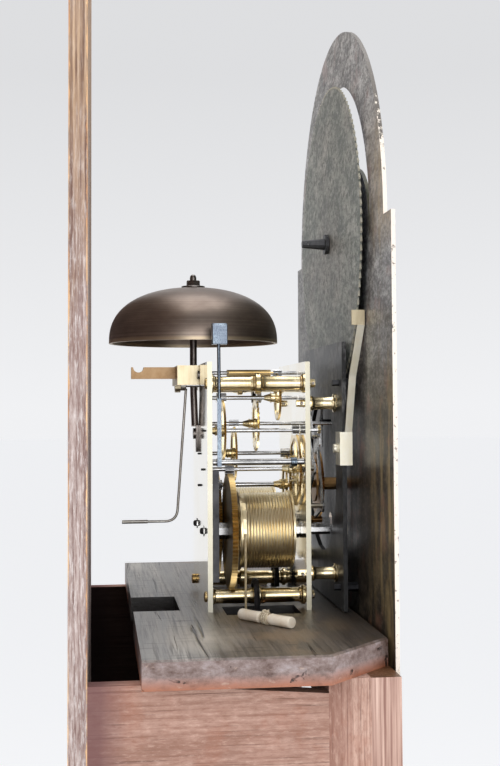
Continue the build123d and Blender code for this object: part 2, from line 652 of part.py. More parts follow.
# The bell on its stand, which is bolted through a lug on the back plate
BELL_X, BELL_D = 14.0, 106.2
BELL_RIM, BELL_RISE, BELL_LIP = 62.9, 42.0, 187.0
BELL_WALL, STAND_ROD = 2.2, 2.6
BELL_FLATS, BELL_RINGS = 36, 5


def bell_side(shrink):
    """Sections of the bell from its lip to the hole in its crown."""
    side = []
    for step in range(BELL_RINGS + 1):
        share = step / BELL_RINGS * pi / 2
        reach = max((BELL_RIM - shrink) * cos(share) ** 0.92, STAND_ROD + 0.1)
        rise = (BELL_RISE - shrink) * sin(share) ** 0.88
        side.append((Plane(origin=(BELL_X, depth(BELL_D), height(BELL_LIP + rise))), reach))
    return side


with BuildPart() as bell:
    stacked(bell_side(0.0) + bell_side(BELL_WALL)[::-1], BELL_FLATS, hollow=True)
keep(bell, "bell")

LUG_LOW, LUG_HIGH = 125.0, 133.0
with BuildPart() as bell_stand:
    block(BELL_X - 6, BELL_X + 6, BACK_PLATE_D, BELL_D + 3.6, LUG_LOW, LUG_HIGH)
    crown = BELL_LIP + BELL_RISE
    under_crown = crown - BELL_WALL - 0.4
    rod = [
        (106, 1.6), (108, 2.1), (LUG_LOW, 2.1), (LUG_HIGH, STAND_ROD), (under_crown - 3.2, STAND_ROD),
        (under_crown - 3.2, 5.0), (under_crown, 5.0), (under_crown, 2.4), (crown + 8, 2.4), (crown + 9, 1.6),
    ]
    upright(BELL_X, depth(BELL_D), [(height(above_seat), radius) for above_seat, radius in rod], 8)
    for low, high, radius in ((116.0, 124.0, 3.5), (crown + 1.2, crown + 5.4, 5.6)):
        with BuildSketch(Plane(origin=(BELL_X, depth(BELL_D), height(low)))) as nut:
            RegularPolygon(radius, 6)
        extrude(nut.sketch, amount=high - low)
    upright(BELL_X, depth(BELL_D), [(height(crown + 0.1), 8.6), (height(crown + 1.2), 8.6)])
keep(bell_stand, "bell_stand")

# The hammer: arbor, foot, flat steel arm, shaft and head, with the tail that the wheel's pins lift
ARM_X, HEAD_LOW, HEAD_TOP = -64.4, 183.0, 197.5
HEAD_D0, HEAD_D1 = 88.5, 99.0
TAIL_TIP = (-39.6, 97.0)
with BuildPart() as hammer:
    arbor(HAMMER, 1.5)
    block(ARM_X - 1.6, HAMMER[0] + 1.5, 91.7, 98.0, 98.0, 104.6)
    block(ARM_X - 1.6, ARM_X, 91.7, 98.0, 104.6, 146.0)
    with BuildSketch(Plane(origin=(ARM_X - 0.8, depth(94.6), height(144)), z_dir=(2.6, 0, 40))) as shaft:
        round_face(1.2)
    extrude(shaft.sketch, amount=40.5)
    block(-64.0, -54.0, HEAD_D0, HEAD_D1, HEAD_LOW, HEAD_TOP)
    bar(HAMMER, TAIL_TIP, 4.0, 2.4, 40.0, 2.4)
    disc(*HAMMER, 3.0, 40.0, 4.0)
    head_corners = hammer.edges().filter_by(Axis.Y).filter_by(lambda e: e.center().Z > height(HEAD_TOP - 1))
    chamfer(head_corners, length=2.0)
keep(hammer, "hammer")

with BuildPart() as hammer_spring:
    block(-61.0, -60.0, 94.6, 98.8, 20.0, 96.2)
    block(-61.0, -50.0, BACK_PLATE_FRONT - 1.4, BACK_PLATE_FRONT, 20.0, 30.0)
    disc(-54.0, 25.0, 2.4, BACK_PLATE_FRONT - 1.4, 1.4)
keep(hammer_spring, "hammer_spring")

# Great wheels ride loose on the winding arbors and drive through click and ratchet.
GREAT_ARBOR, REAR_PIVOT, FRONT_PIVOT = 6.2, 3.95, 5.35
WINDING_SQUARE, SQUARE_END = 5.6, -4.0
BARREL, FLANGE, FLANGE_THICK = 25.9, 28.0, 1.6


def great_wheel(centre, teeth, module, phase, d_rear, click_d, ratchet, click_reach):
    outline = gear_outline(teeth, module, phase, TOOTH)
    wheel(centre, outline, d_rear, GREAT_THICK, 0, 1, 0, 0, GREAT_ARBOR + RUNNING)
    click_thick = d_rear - GREAT_THICK - click_d
    pivot = (centre[0] + click_reach, centre[1])
    nose = (centre[0] + ratchet + 1.4, centre[1] + 7.0)
    disc(*pivot, 2.6, d_rear - GREAT_THICK, click_thick)
    bar(pivot, nose, 3.6, 1.8, d_rear - GREAT_THICK, click_thick)


with BuildPart() as going_great_wheel:
    great_wheel(GOING, GOING_TEETH, going_module, going_phase, GOING_WHEEL_D, 84.6, 11.5, 15.6)
keep(going_great_wheel, "going_great_wheel")

with BuildPart() as strike_great_wheel:
    great_wheel(STRIKING, STRIKE_TEETH, strike_module, strike_phase, STRIKE_WHEEL_D, 79.8, 19.0, 23.6)
keep(strike_great_wheel, "strike_great_wheel")


def ratchet_outline(teeth, tip_radius, root_radius):
    outline = []
    for tooth in range(teeth):
        angle = 2 * pi * tooth / teeth
        outline.append((tip_radius * cos(angle), tip_radius * sin(angle)))
        outline.append((root_radius * cos(angle + 0.06), root_radius * sin(angle + 0.06)))
    return outline


def winding_barrel(centre, d_front, d_rear, ratchet_d, ratchet_radius, collar_rear):
    """The barrel with its end flanges, ratchet and arbor, and the square for the key."""
    drum = [
        (d_rear, FLANGE), (d_rear - FLANGE_THICK, FLANGE), (d_rear - FLANGE_THICK, BARREL),
        (d_front + FLANGE_THICK, BARREL), (d_front + FLANGE_THICK, FLANGE), (d_front, FLANGE),
    ]
    turned(*centre, drum, 24)
    rear_shoulder, front_shoulder = BACK_PLATE_FRONT - 0.4, FRONT_PLATE_REAR + 0.4
    arbor_profile = [
        (BACK_PLATE_D + 0.4, REAR_PIVOT), (rear_shoulder, REAR_PIVOT), (rear_shoulder, GREAT_ARBOR),
        (front_shoulder, GREAT_ARBOR), (front_shoulder, FRONT_PIVOT), (FRONT_PLATE_FACE - 0.2, FRONT_PIVOT),
        (FRONT_PLATE_FACE - 0.2, 3.95), (12.0, 3.95),
    ]
    turned(*centre, arbor_profile)
    disc(*centre, 9.0, collar_rear, collar_rear - d_rear)
    square(*centre, WINDING_SQUARE, 12.0, 12.0 - SQUARE_END)
    with BuildSketch(facing(collar_rear, *centre)) as teeth:
        with BuildLine():
            Polyline(*ratchet_outline(24, ratchet_radius, ratchet_radius - 2), close=True)
        make_face()
    extrude(teeth.sketch, amount=collar_rear - ratchet_d)


with BuildPart() as going_barrel:
    winding_barrel(GOING, 44.0, 80.0, 84.6, 11.5, 86.6)
keep(going_barrel, "going_barrel")

with BuildPart() as strike_barrel:
    winding_barrel(STRIKING, 40.6, 79.0, 79.8, 19.0, 81.6)
keep(strike_barrel, "strike_barrel")


# The going train between the plates

def collet(centre, radius, d_rear, length):
    disc(*centre, radius, d_rear, length)


SECONDS_TIP, CENTRE_TIP = -4.6, -11.6
with BuildPart() as centre_wheel:
    outline = gear_outline(CENTRE_TEETH, centre_module, centre_phase, TOOTH)
    wheel(CENTRE, outline, CENTRE_WHEEL_D, THIN, 17.2, 5.0, 4, 3.4, 1.4)
    turned(*CENTRE, [
        (BACK_PLATE_D, PIVOT - RUNNING), (BACK_PLATE_FRONT - 0.4, PIVOT - RUNNING), (BACK_PLATE_FRONT - 0.4, 1.7),
        (FRONT_PLATE_REAR + 0.4, 1.7), (FRONT_PLATE_REAR + 0.4, CENTRE_ARBOR), (CENTRE_TIP, CENTRE_ARBOR),
    ])
    pinion(CENTRE, PINION_LEAVES, going_module, centre_pinion_phase, 92.2, 5.8)
    collet(CENTRE, 3.6, CENTRE_WHEEL_D + 4, 4)
keep(centre_wheel, "centre_wheel")

with BuildPart() as third_wheel:
    outline = gear_outline(THIRD_TEETH, third_module, third_phase, TOOTH)
    wheel(THIRD, outline, THIRD_WHEEL_D, THIN, 16.6, 4.6, 4, 3.2, 1.2)
    arbor(THIRD, 1.4)
    pinion(THIRD, PINION_LEAVES, centre_module, third_pinion_phase, 42.4, 7.0)
    collet(THIRD, 3.2, THIRD_WHEEL_D + 4, 4)
keep(third_wheel, "third_wheel")

ESCAPE_TIP, ESCAPE_ROOT = 20.2, 16.4
with BuildPart() as escape_wheel:
    outline = []
    for tooth in range(ESCAPE_TEETH):
        angle = 2 * pi * tooth / ESCAPE_TEETH
        for radius, lead in ((ESCAPE_TIP, 0.0), (ESCAPE_ROOT, 0.05)):
            outline.append((radius * cos(angle + lead), radius * sin(angle + lead)))
    wheel(ESCAPE, outline, ESCAPE_WHEEL_D, THIN, 14.0, 4.2, 4, 3.0, 1.0)
    turned(*ESCAPE, [
        (BACK_PLATE_D, PIVOT - RUNNING), (BACK_PLATE_FRONT - 0.4, PIVOT - RUNNING), (BACK_PLATE_FRONT - 0.4, 1.4),
        (SECONDS_TIP, 1.4),
    ])
    pinion(ESCAPE, ESCAPE_LEAVES, third_module, escape_pinion_phase, 81.0, 7.0)
    collet(ESCAPE, 3.2, ESCAPE_WHEEL_D + 4, 4)
keep(escape_wheel, "escape_wheel")

# The anchor spans seven and a half teeth of the escape wheel.
ANCHOR_REAR, ANCHOR_THICK = 62.4, 3.2
CRUTCH_D, CRUTCH_ROD = 112.8, 1.5
with BuildPart() as pallets:
    arm = [(3.6, 151.6), (13.4, 147.8), (15.2, 142.6), (19.4, 144.4), (17.6, 150.6), (4.4, 159.0)]
    mirrored = [(-x, h) for x, h in reversed(arm)]
    plate_of(arm + mirrored, ANCHOR_REAR, ANCHOR_THICK)
    disc(*PALLET, 4.6, ANCHOR_REAR + 3, ANCHOR_THICK + 6)
    turned(*PALLET, [
        (BRIDGE_REAR, PIVOT - RUNNING), (BRIDGE_FRONT - 0.4, PIVOT - RUNNING), (BRIDGE_FRONT - 0.4, 1.6),
        (FRONT_PLATE_REAR + 0.4, 1.6), (FRONT_PLATE_REAR + 0.4, PIVOT - RUNNING), (FRONT_PLATE_FACE, PIVOT - RUNNING),
    ])
keep(pallets, "pallets")

# The crutch: its boss on the pallet arbor, the hanging rod and the bent foot that drives the pendulum
CRUTCH_LOW, CRUTCH_KNEE_D, CRUTCH_FOOT_D, CRUTCH_BEND = 56.5, 119.8, 159.7, 8.0
with BuildPart() as crutch:
    disc(*PALLET, 4.2, CRUTCH_D + 2, 4)
    disc(*PALLET, 1.65, CRUTCH_D + 3, 6, Mode.SUBTRACT)
    start = (0, depth(CRUTCH_D), height(PALLET[1] - 2.6))
    knee = (0, depth(CRUTCH_KNEE_D), height(CRUTCH_LOW))
    with BuildLine() as route:
        FilletPolyline(start, knee, (0, depth(CRUTCH_FOOT_D), height(CRUTCH_LOW)), radius=CRUTCH_BEND)
    with BuildSketch(Plane(origin=start, z_dir=(0, knee[1] - start[1], knee[2] - start[2]))) as section:
        round_face(CRUTCH_ROD)
    sweep(section.sketch, path=route.wire())
keep(crutch, "crutch")


# The striking train between the plates

PIN_CIRCLE, PIN_COUNT = 8.8, 8
with BuildPart() as pin_wheel:
    outline = gear_outline(PIN_TEETH, pin_module, pin_phase, TOOTH)
    wheel(PIN, outline, PIN_WHEEL_D, THIN, 22.0, 11.0, 4, 3.8, 1.2)
    arbor(PIN, 1.5)
    pinion(PIN, PINION_LEAVES, strike_module, pin_pinion_phase, 87.2, 6.4)
    for step in range(PIN_COUNT):
        angle = 2 * pi * step / PIN_COUNT
        disc(PIN[0] + PIN_CIRCLE * cos(angle), PIN[1] + PIN_CIRCLE * sin(angle), 0.9, 40.2, 3.2)
keep(pin_wheel, "pin_wheel")

with BuildPart() as gathering_wheel:
    outline = gear_outline(GATHER_TEETH, gather_module, gather_phase, TOOTH)
    wheel(GATHER, outline, GATHER_WHEEL_D, THIN, 17.8, 4.8, 4, 3.4, 1.0)
    turned(*GATHER, [
        (BACK_PLATE_D, PIVOT - RUNNING), (BACK_PLATE_FRONT - 0.4, PIVOT - RUNNING), (BACK_PLATE_FRONT - 0.4, 1.4),
        (19.4, 1.4),
    ])
    pinion(GATHER, PINION_LEAVES, pin_module, gather_pinion_phase, 39.8, 4.9)
    collet(GATHER, 3.3, GATHER_WHEEL_D + 4, 4)
    disc(*GATHER, 2.6, 21.4, 2.0)
    bar(GATHER, (GATHER[0], GATHER[1] + 3.4), 2.6, 1.2, 21.4, 2.0)
keep(gathering_wheel, "gathering_wheel")

with BuildPart() as warning_wheel:
    outline = gear_outline(WARNING_TEETH, warning_module, warning_phase, TOOTH)
    wheel(WARNING, outline, WARNING_WHEEL_D, THIN, 13.2, 4.4, 4, 3.0, 1.0)
    arbor(WARNING, 1.4)
    pinion(WARNING, PINION_LEAVES, gather_module, warning_pinion_phase, 93.4, 7.0)
    collet(WARNING, 3.1, WARNING_WHEEL_D + 4, 4)
keep(warning_wheel, "warning_wheel")

FLY_REACH, FLY_SHEET, FLY_FRONT, FLY_BACK = 15.2, 0.9, 54.0, 85.6
with BuildPart() as fly:
    arbor(FLY, 1.3)
    pinion(FLY, FLY_LEAVES, warning_module, fly_pinion_phase, 52.4, 6.4)
    block(FLY[0] - FLY_REACH, FLY[0] + FLY_REACH, FLY_FRONT, FLY_BACK, FLY[1] - FLY_SHEET / 2, FLY[1] + FLY_SHEET / 2)
    collet(FLY, 2.3, FLY_BACK, FLY_BACK - FLY_FRONT)
keep(fly, "fly")


# Motion work and striking levers in front of the front plate

CANNON_PIPE, HOUR_PIPE = 3.0, 4.6
MINUTE_HAND_D, HOUR_HAND_D = -8.2, -5.2
with BuildPart() as cannon_wheel:
    outline = gear_outline(MOTION_TEETH, motion_module, 0.0, TOOTH)
    wheel(CENTRE, outline, MOTION_D, THIN, 0, 1, 0, 0, CENTRE_ARBOR + RUNNING)
    disc(*CENTRE, CANNON_PIPE, MOTION_D - THIN, MOTION_D - THIN - MINUTE_HAND_D)
    disc(*CENTRE, CENTRE_ARBOR + RUNNING, MOTION_D, MOTION_D - MINUTE_HAND_D, Mode.SUBTRACT)
keep(cannon_wheel, "cannon_wheel")

with BuildPart() as minute_wheel:
    outline = gear_outline(MOTION_TEETH, motion_module, minute_phase, TOOTH)
    wheel(MINUTE, outline, MOTION_D, THIN, 0, 1, 0, 0, STUD + RUNNING)
    disc(*MINUTE, 2.9, MOTION_D - THIN, MOTION_D - THIN - MINUTE_PINION_REAR)
    pinion(MINUTE, MINUTE_LEAVES, hour_module, minute_phase, MINUTE_PINION_REAR, 7.0)
    disc(*MINUTE, STUD + RUNNING, MOTION_D, MOTION_D - MINUTE_PINION_REAR - 0.3, Mode.SUBTRACT)
keep(minute_wheel, "minute_wheel")

SNAIL_STEPS, SNAIL_HIGH, SNAIL_DROP = 12, 22.0, 1.1
with BuildPart() as hour_wheel:
    outline = gear_outline(HOUR_TEETH, hour_module, hour_phase, TOOTH)
    wheel(CENTRE, outline, HOUR_WHEEL_D, THIN, 0, 1, 0, 0, CANNON_PIPE + RUNNING)
    disc(*CENTRE, HOUR_PIPE, SNAIL_D, SNAIL_D - HOUR_HAND_D + 1.3)
    steps = []
    for step in range(SNAIL_STEPS):
        for share in range(2):
            angle = 2 * pi * (step + share) / SNAIL_STEPS
            radius = SNAIL_HIGH - SNAIL_DROP * step
            steps.append((radius * cos(angle), radius * sin(angle)))
    with BuildSketch(facing(SNAIL_D, *CENTRE)) as snail:
        with BuildLine():
            Polyline(*steps, close=True)
        make_face()
    extrude(snail.sketch, amount=THIN)
    disc(*CENTRE, CANNON_PIPE + RUNNING, SNAIL_D, SNAIL_D - HOUR_HAND_D + 1.4, Mode.SUBTRACT)
keep(hour_wheel, "hour_wheel")

RACK_RADIUS, RACK_TEETH = 49.8, 14
RACK_START, RACK_END = radians(54.0), radians(80.0)
with BuildPart() as rack:
    teeth = []
    for tooth in range(RACK_TEETH):
        pitch = (RACK_END - RACK_START) / RACK_TEETH
        angle = RACK_START + pitch * tooth
        teeth.append((RACK_RADIUS - 2.0, angle))
        teeth.append((RACK_RADIUS, angle + pitch * 0.3))
    teeth += [(RACK_RADIUS - 2.0, RACK_END)]
    teeth += [(RACK_RADIUS - 6.5, RACK_END - (RACK_END - RACK_START) * step / 5) for step in range(6)]
    sector = [(RACK_PIVOT[0] + r * cos(a), RACK_PIVOT[1] + r * sin(a)) for r, a in teeth]
    plate_of(sector, RACK_D, THIN)
    middle = (RACK_START + RACK_END) / 2
    end = (RACK_PIVOT[0] + 45 * cos(middle), RACK_PIVOT[1] + 45 * sin(middle))
    bar(RACK_PIVOT, end, 5.0, 4.0, RACK_D, THIN)
    bar(RACK_PIVOT, (-17.0, 60.0), 5.0, 2.6, RACK_D, THIN)
    disc(*RACK_PIVOT, 4.6, RACK_D, THIN)
    disc(*RACK_PIVOT, LEVER_STUD + RUNNING, RACK_D, THIN, Mode.SUBTRACT)
keep(rack, "rack")

BEAK = (-26.4, 118.0)
with BuildPart() as rack_hook:
    bar(HOOK_PIVOT, BEAK, 5.0, 3.2, LOCKING_D, THIN)
    bar(HOOK_PIVOT, (8.0, 141.0), 4.0, 3.0, LOCKING_D, THIN)
    disc(*HOOK_PIVOT, 4.2, LOCKING_D, THIN)
    disc(*BEAK, 1.6, LOCKING_D, LOCKING_D - RACK_D + THIN)
    disc(*HOOK_PIVOT, LEVER_STUD + RUNNING, LOCKING_D, THIN, Mode.SUBTRACT)
keep(rack_hook, "rack_hook")

with BuildPart() as lifting_piece:
    bar(LIFT_PIVOT, (-10.0, 68.0), 5.0, 2.4, LIFT_D, THIN)
    bar(LIFT_PIVOT, (-20.0, 120.0), 5.0, 3.0, LIFT_D, THIN)
    disc(*LIFT_PIVOT, 4.4, LIFT_D, THIN)
    disc(*LIFT_PIVOT, LEVER_STUD + RUNNING, LIFT_D, THIN, Mode.SUBTRACT)
keep(lifting_piece, "lifting_piece")


# The false plate and the dial

FALSE_X, FALSE_LOW, FALSE_TOP, FALSE_HOLE = 80.0, 1.0, 184.0, 56.0
DIAL_FEET = ((-68.0, 16.0), (68.0, 16.0), (-68.0, 156.0), (68.0, 156.0))
FOOT, FOOT_END = 3.2, 2.4
with BuildPart() as false_plate:
    block(-FALSE_X, FALSE_X, FALSE_FRONT, FALSE_REAR, FALSE_LOW, FALSE_TOP)
    disc(0, 90, FALSE_HOLE, FALSE_REAR, FALSE_REAR - FALSE_FRONT, Mode.SUBTRACT)
    for x, above_seat in DIAL_FEET:
        disc(x, above_seat, FOOT_END + RUNNING, FALSE_REAR, FALSE_REAR - FALSE_FRONT, Mode.SUBTRACT)
    for x, above_seat in FALSE_PILLARS:
        disc(x, above_seat, 2.5, FALSE_REAR, FALSE_REAR - FALSE_FRONT, Mode.SUBTRACT)
keep(false_plate, "false_plate")

with BuildPart() as dial_pillars:
    for x, above_seat in FALSE_PILLARS:
        turned(x, above_seat, [
            (FALSE_FRONT, 2.5), (FALSE_REAR, 2.5), (FALSE_REAR, 6.4), (FALSE_REAR + 3, 4.2),
            (FRONT_PLATE_FACE - 2.6, 4.2), (FRONT_PLATE_FACE, 5.6),
            (FRONT_PLATE_FACE, FALSE_PILLAR_END), (FRONT_PLATE_REAR + 5.2, 2.6),
        ])
        pin_across(x, above_seat, FALSE_PIN_D, PIN_RADIUS + RUNNING, 10, Mode.SUBTRACT)
keep(dial_pillars, "dial_pillars")

ARCH_OPENING, SILL = 118.0, 251.0
HUMP_X, HUMP_RADIUS, HUMP_HEIGHT = 66.0, 50.0, 255.0
MOON = (0.0, 261.0)
DIAL_LOW = -95.0
with BuildSketch() as arch_opening:
    with Locations((0, SHOULDER - 1)):
        Circle(ARCH_OPENING)
    with Locations((0, SILL - 100)):
        Rectangle(300, 200, mode=Mode.SUBTRACT)
    with Locations((-HUMP_X, HUMP_HEIGHT), (HUMP_X, HUMP_HEIGHT)):
        Circle(HUMP_RADIUS, mode=Mode.SUBTRACT)
    with Locations((0, SILL)):
        Rectangle(60, 46, mode=Mode.SUBTRACT)

MOON_STUD, MOON_BORE = 4.0, 4.05
with BuildPart() as dial:
    with BuildSketch(facing(0)) as face:
        with Locations((0, (SHOULDER + DIAL_LOW) / 2)):
            Rectangle(DIAL_WIDTH, SHOULDER - DIAL_LOW)
        with Locations((0, SHOULDER - 1)):
            Circle(ARCH_RADIUS)
        add(arch_opening.sketch, mode=Mode.SUBTRACT)
        for place, radius in ((CENTRE, HOUR_PIPE + 1), (ESCAPE, 2.6), (GOING, 6.5), (STRIKING, 6.5)):
            with Locations(place):
                round_face(radius, Mode.SUBTRACT)
    extrude(face.sketch, amount=DIAL_SHEET)
    for x, above_seat in DIAL_FEET:
        foot = [(0, FOOT), (FALSE_FRONT, FOOT), (FALSE_FRONT, FOOT_END), (FALSE_REAR + 4.5, FOOT_END)]
        turned(x, above_seat, foot)
keep(dial, "dial")

LEVER_PLACE = (26.0, 128.0)
with BuildPart() as moon_stud:
    stud = [
        (0, 9.0), (3.9, 9.0), (3.9, MOON_STUD), (6.1, MOON_STUD), (6.1, 7.5), (8.8, 7.5), (8.8, 4.3), (25.5, 2.8),
    ]
    turned(*MOON, stud, 12)
    pin_across(*MOON, 21.0, 0.8, 10, Mode.SUBTRACT)
    disc(*LEVER_PLACE, LEVER_STUD, 8.6, 8.6)
keep(moon_stud, "moon_stud")

MOON_TEETH, MOON_RADIUS, MOON_ROOT = 118, 116.1, 114.0
with BuildPart() as moon_disc:
    edge = []
    for tooth in range(MOON_TEETH):
        angle = 2 * pi * tooth / MOON_TEETH
        edge.append((MOON_RADIUS * cos(angle), MOON_RADIUS * sin(angle)))
        edge.append((MOON_ROOT * cos(angle + 0.012), MOON_ROOT * sin(angle + 0.012)))
    with BuildSketch(facing(5.6, *MOON)) as face:
        with BuildLine():
            Polyline(*edge, close=True)
        make_face()
        round_face(MOON_BORE, Mode.SUBTRACT)
    extrude(face.sketch, amount=1.2)
keep(moon_disc, "moon_disc")

# The jumper: a foot bent round the false plate's edge, a leaning strip and the head at the disc's edge
JUMP_SHEET, JUMP_LOW, JUMP_HIGH = 1.8, 99.7, 122.3
JUMP_HEAD_X, JUMP_HEAD_LOW, JUMP_HEAD_TOP = -102.6, 194.0, 204.0
with BuildPart() as moon_jumper:
    block(-FALSE_X - JUMP_SHEET, -FALSE_X - 0.1, 5.4, 14.0, JUMP_LOW, JUMP_HIGH)
    block(-FALSE_X - 0.1, -66.0, FALSE_REAR + 0.1, 14.0, JUMP_LOW, JUMP_HIGH)
    disc(-73.0, 111.0, 3.0, 15.4, 1.4)
    lower = Plane(origin=(-FALSE_X - JUMP_SHEET / 2, depth(8.0), height(JUMP_HIGH)))
    middle = Plane(origin=(-89.5, depth(6.6), height(160)))
    upper = Plane(origin=(JUMP_HEAD_X, depth(3.2), height(JUMP_HEAD_LOW)))
    for start, end in ((lower, middle), (middle, upper)):
        for plane in (start, end):
            with BuildSketch(plane):
                Rectangle(1.6, 4.8)
        loft(ruled=True)
    block(JUMP_HEAD_X - 0.8, JUMP_HEAD_X + 0.8, 0.8, 9.6, JUMP_HEAD_LOW, JUMP_HEAD_TOP)
keep(moon_jumper, "moon_jumper")

with BuildPart() as moon_lever:
    bar(LEVER_PLACE, (23.4, 108.6), 4.6, 2.4, 7.9, THIN)
    bar(LEVER_PLACE, (20.4, 144.0), 4.6, 2.4, 7.9, THIN)
    disc(*LEVER_PLACE, 4.4, 7.9, THIN)
    disc(20.4, 144.0, 1.3, 7.9, 3.5)
    disc(*LEVER_PLACE, LEVER_STUD + RUNNING, 7.9, 3.5, Mode.SUBTRACT)
keep(moon_lever, "moon_lever")


# The hands, set at ten past ten

def hand(centre, clock_angle, length, tail, width, hub, bore, d_rear, thickness):
    """A matching pair's hand: leaf-shaped blade, slim stem, round hub and short tail."""
    turn = radians(90 - clock_angle)

    def at(along, off):
        return (centre[0] + along * cos(turn) - off * sin(turn), centre[1] + along * sin(turn) + off * cos(turn))

    side = [(-tail, 0.9), (hub, 1.3), (length * 0.52, 1.0), (length * 0.66, width / 2), (length * 0.78, width / 3)]
    outline = [at(a, o) for a, o in side] + [at(length, 0)] + [at(a, -o) for a, o in reversed(side)]
    plate_of(outline, d_rear, thickness)
    disc(*centre, hub, d_rear, thickness)
    disc(*centre, bore, d_rear, thickness, Mode.SUBTRACT)


with BuildPart() as hour_hand:
    hand(CENTRE, 305, 92, 0, 17, 9.0, HOUR_PIPE + RUNNING, HOUR_HAND_D, 1.2)
keep(hour_hand, "hour_hand")

with BuildPart() as minute_hand:
    hand(CENTRE, 60, 138, 0, 12, 6.5, CENTRE_ARBOR + RUNNING, MINUTE_HAND_D, 1.2)
keep(minute_hand, "minute_hand")

with BuildPart() as seconds_hand:
    hand(ESCAPE, 150, 27, 10, 2.2, 3.4, 1.4 + RUNNING, -3.4, 0.8)
keep(seconds_hand, "seconds_hand")


# The weights on their gut lines: from the barrel, round the pulley and up to the peg on the board

LINE_RADIUS, WEIGHT_BOTTOM, WEIGHT_HEIGHT, WEIGHT_RADIUS = 0.8, 70.0, 190.0, 36.0
PULLEY_Z = 320.0
FALL_SPAN = hypot(FALL_TO_PEG, FALL_D - PEG_D)
BEND = FALL_SPAN / 2
PULLEY_GROOVE = BEND - LINE_RADIUS - 0.1


def fall_plane(path):
    """The upright plane of one pulley, with its local x from the falling strand to the fixed one."""
    fall_x, peg_x = path
    middle = ((fall_x + peg_x) / 2, depth((PEG_D + FALL_D) / 2), PULLEY_Z)
    along = Vector(peg_x - fall_x, PEG_D - FALL_D, 0)
    return Plane(origin=middle, x_dir=along, z_dir=Vector(0, 0, 1).cross(along))


def pulley(path):
    """A grooved wheel; its pin is fixed in the stirrup."""
    plane = fall_plane(path)
    rim = BEND + 1.8
    stacked([(plane.offset(w), r) for w, r in (
        (-3.6, rim), (-2.4, rim), (-0.9, PULLEY_GROOVE), (0.9, PULLEY_GROOVE), (2.4, rim), (3.6, rim),
    )], 24)
    with BuildSketch(plane.offset(-4)) as bore:
        RegularPolygon(2.05, 8, major_radius=False)
    extrude(bore.sketch, amount=8, mode=Mode.SUBTRACT)


def weight(path):
    """The cast weight with its hook, and the pulley's iron stirrup with its pin."""
    plane = fall_plane(path)
    x, y = plane.origin.X, plane.origin.Y
    top = WEIGHT_BOTTOM + WEIGHT_HEIGHT
    body = [
        (WEIGHT_BOTTOM, WEIGHT_RADIUS - 2), (WEIGHT_BOTTOM + 2, WEIGHT_RADIUS),
        (top - 4, WEIGHT_RADIUS), (top, WEIGHT_RADIUS - 5),
    ]
    upright(x, y, body, 24)
    upright(x, y, [(top, 3.0), (PULLEY_Z - BEND - 9, 3.0)], 8)
    level = Plane(origin=plane.origin, x_dir=plane.x_dir, z_dir=(0, 0, 1))
    with BuildSketch(level.offset(-BEND - 10)) as foot:
        Rectangle(12, 13.6)
    extrude(foot.sketch, amount=4)
    with BuildSketch(level.offset(-BEND - 10)) as straps:
        with Locations((0, 5.4), (0, -5.4)):
            Rectangle(12, 2.8)
    extrude(straps.sketch, amount=BEND + 16)
    with BuildSketch(plane.offset(-8)) as pin:
        round_face(2.0)
    extrude(pin.sketch, amount=16)


def line(path):
    """The gut line from the barrel's side, round the pulley, to the peg."""
    fall_x, peg_x = path
    top = (fall_x, depth(FALL_D), height(GOING[1]))
    fall = (fall_x, depth(FALL_D), PULLEY_Z)
    rise = (peg_x, depth(PEG_D), PULLEY_Z)
    with BuildLine() as route:
        Line(top, fall)
        ThreePointArc(fall, ((fall_x + peg_x) / 2, depth((PEG_D + FALL_D) / 2), PULLEY_Z - BEND), rise)
        Line(rise, (peg_x, depth(PEG_D), height(0.9)))
    with BuildSketch(Plane(origin=top, z_dir=(0, 0, -1))) as section:
        RegularPolygon(LINE_RADIUS, 6)
    sweep(section.sketch, path=route.wire())


with BuildPart() as strike_weight:
    weight(LINE_PATHS[0])
keep(strike_weight, "strike_weight")

with BuildPart() as going_weight:
    weight(LINE_PATHS[1])
keep(going_weight, "going_weight")

with BuildPart() as strike_pulley:
    pulley(LINE_PATHS[0])
keep(strike_pulley, "strike_pulley")

with BuildPart() as going_pulley:
    pulley(LINE_PATHS[1])
keep(going_pulley, "going_pulley")

with BuildPart() as strike_line:
    line(LINE_PATHS[0])
keep(strike_line, "strike_line")

with BuildPart() as going_line:
    line(LINE_PATHS[1])
keep(going_line, "going_line")

# Turned bone pegs that hold the lines' ends on the seatboard, each with a waist for the line
PEG_RADIUS, PEG_WAIST, PEG_END = 3.65, 2.6, 19.0
PEG_WAYS = ((-38.3, -27.3, 0), (0, -1, 0))
with BuildPart() as line_pegs:
    for (fall_x, peg_x), way in zip(LINE_PATHS, PEG_WAYS):
        centre = (peg_x, depth(PEG_D), height(PEG_RADIUS + 0.1))
        for offset, radius, length in (
            (-6 - PEG_END + 1, PEG_RADIUS, PEG_END), (-6, PEG_WAIST, 12.0), (5, PEG_RADIUS, PEG_END),
        ):
            with BuildSketch(Plane(origin=centre, z_dir=way).offset(offset)) as end:
                round_face(radius)
            extrude(end.sketch, amount=length)
keep(line_pegs, "line_pegs")
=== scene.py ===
from math import cos, hypot, pi, radians, sin

import bmesh
import bpy
from mathutils import Matrix, Vector


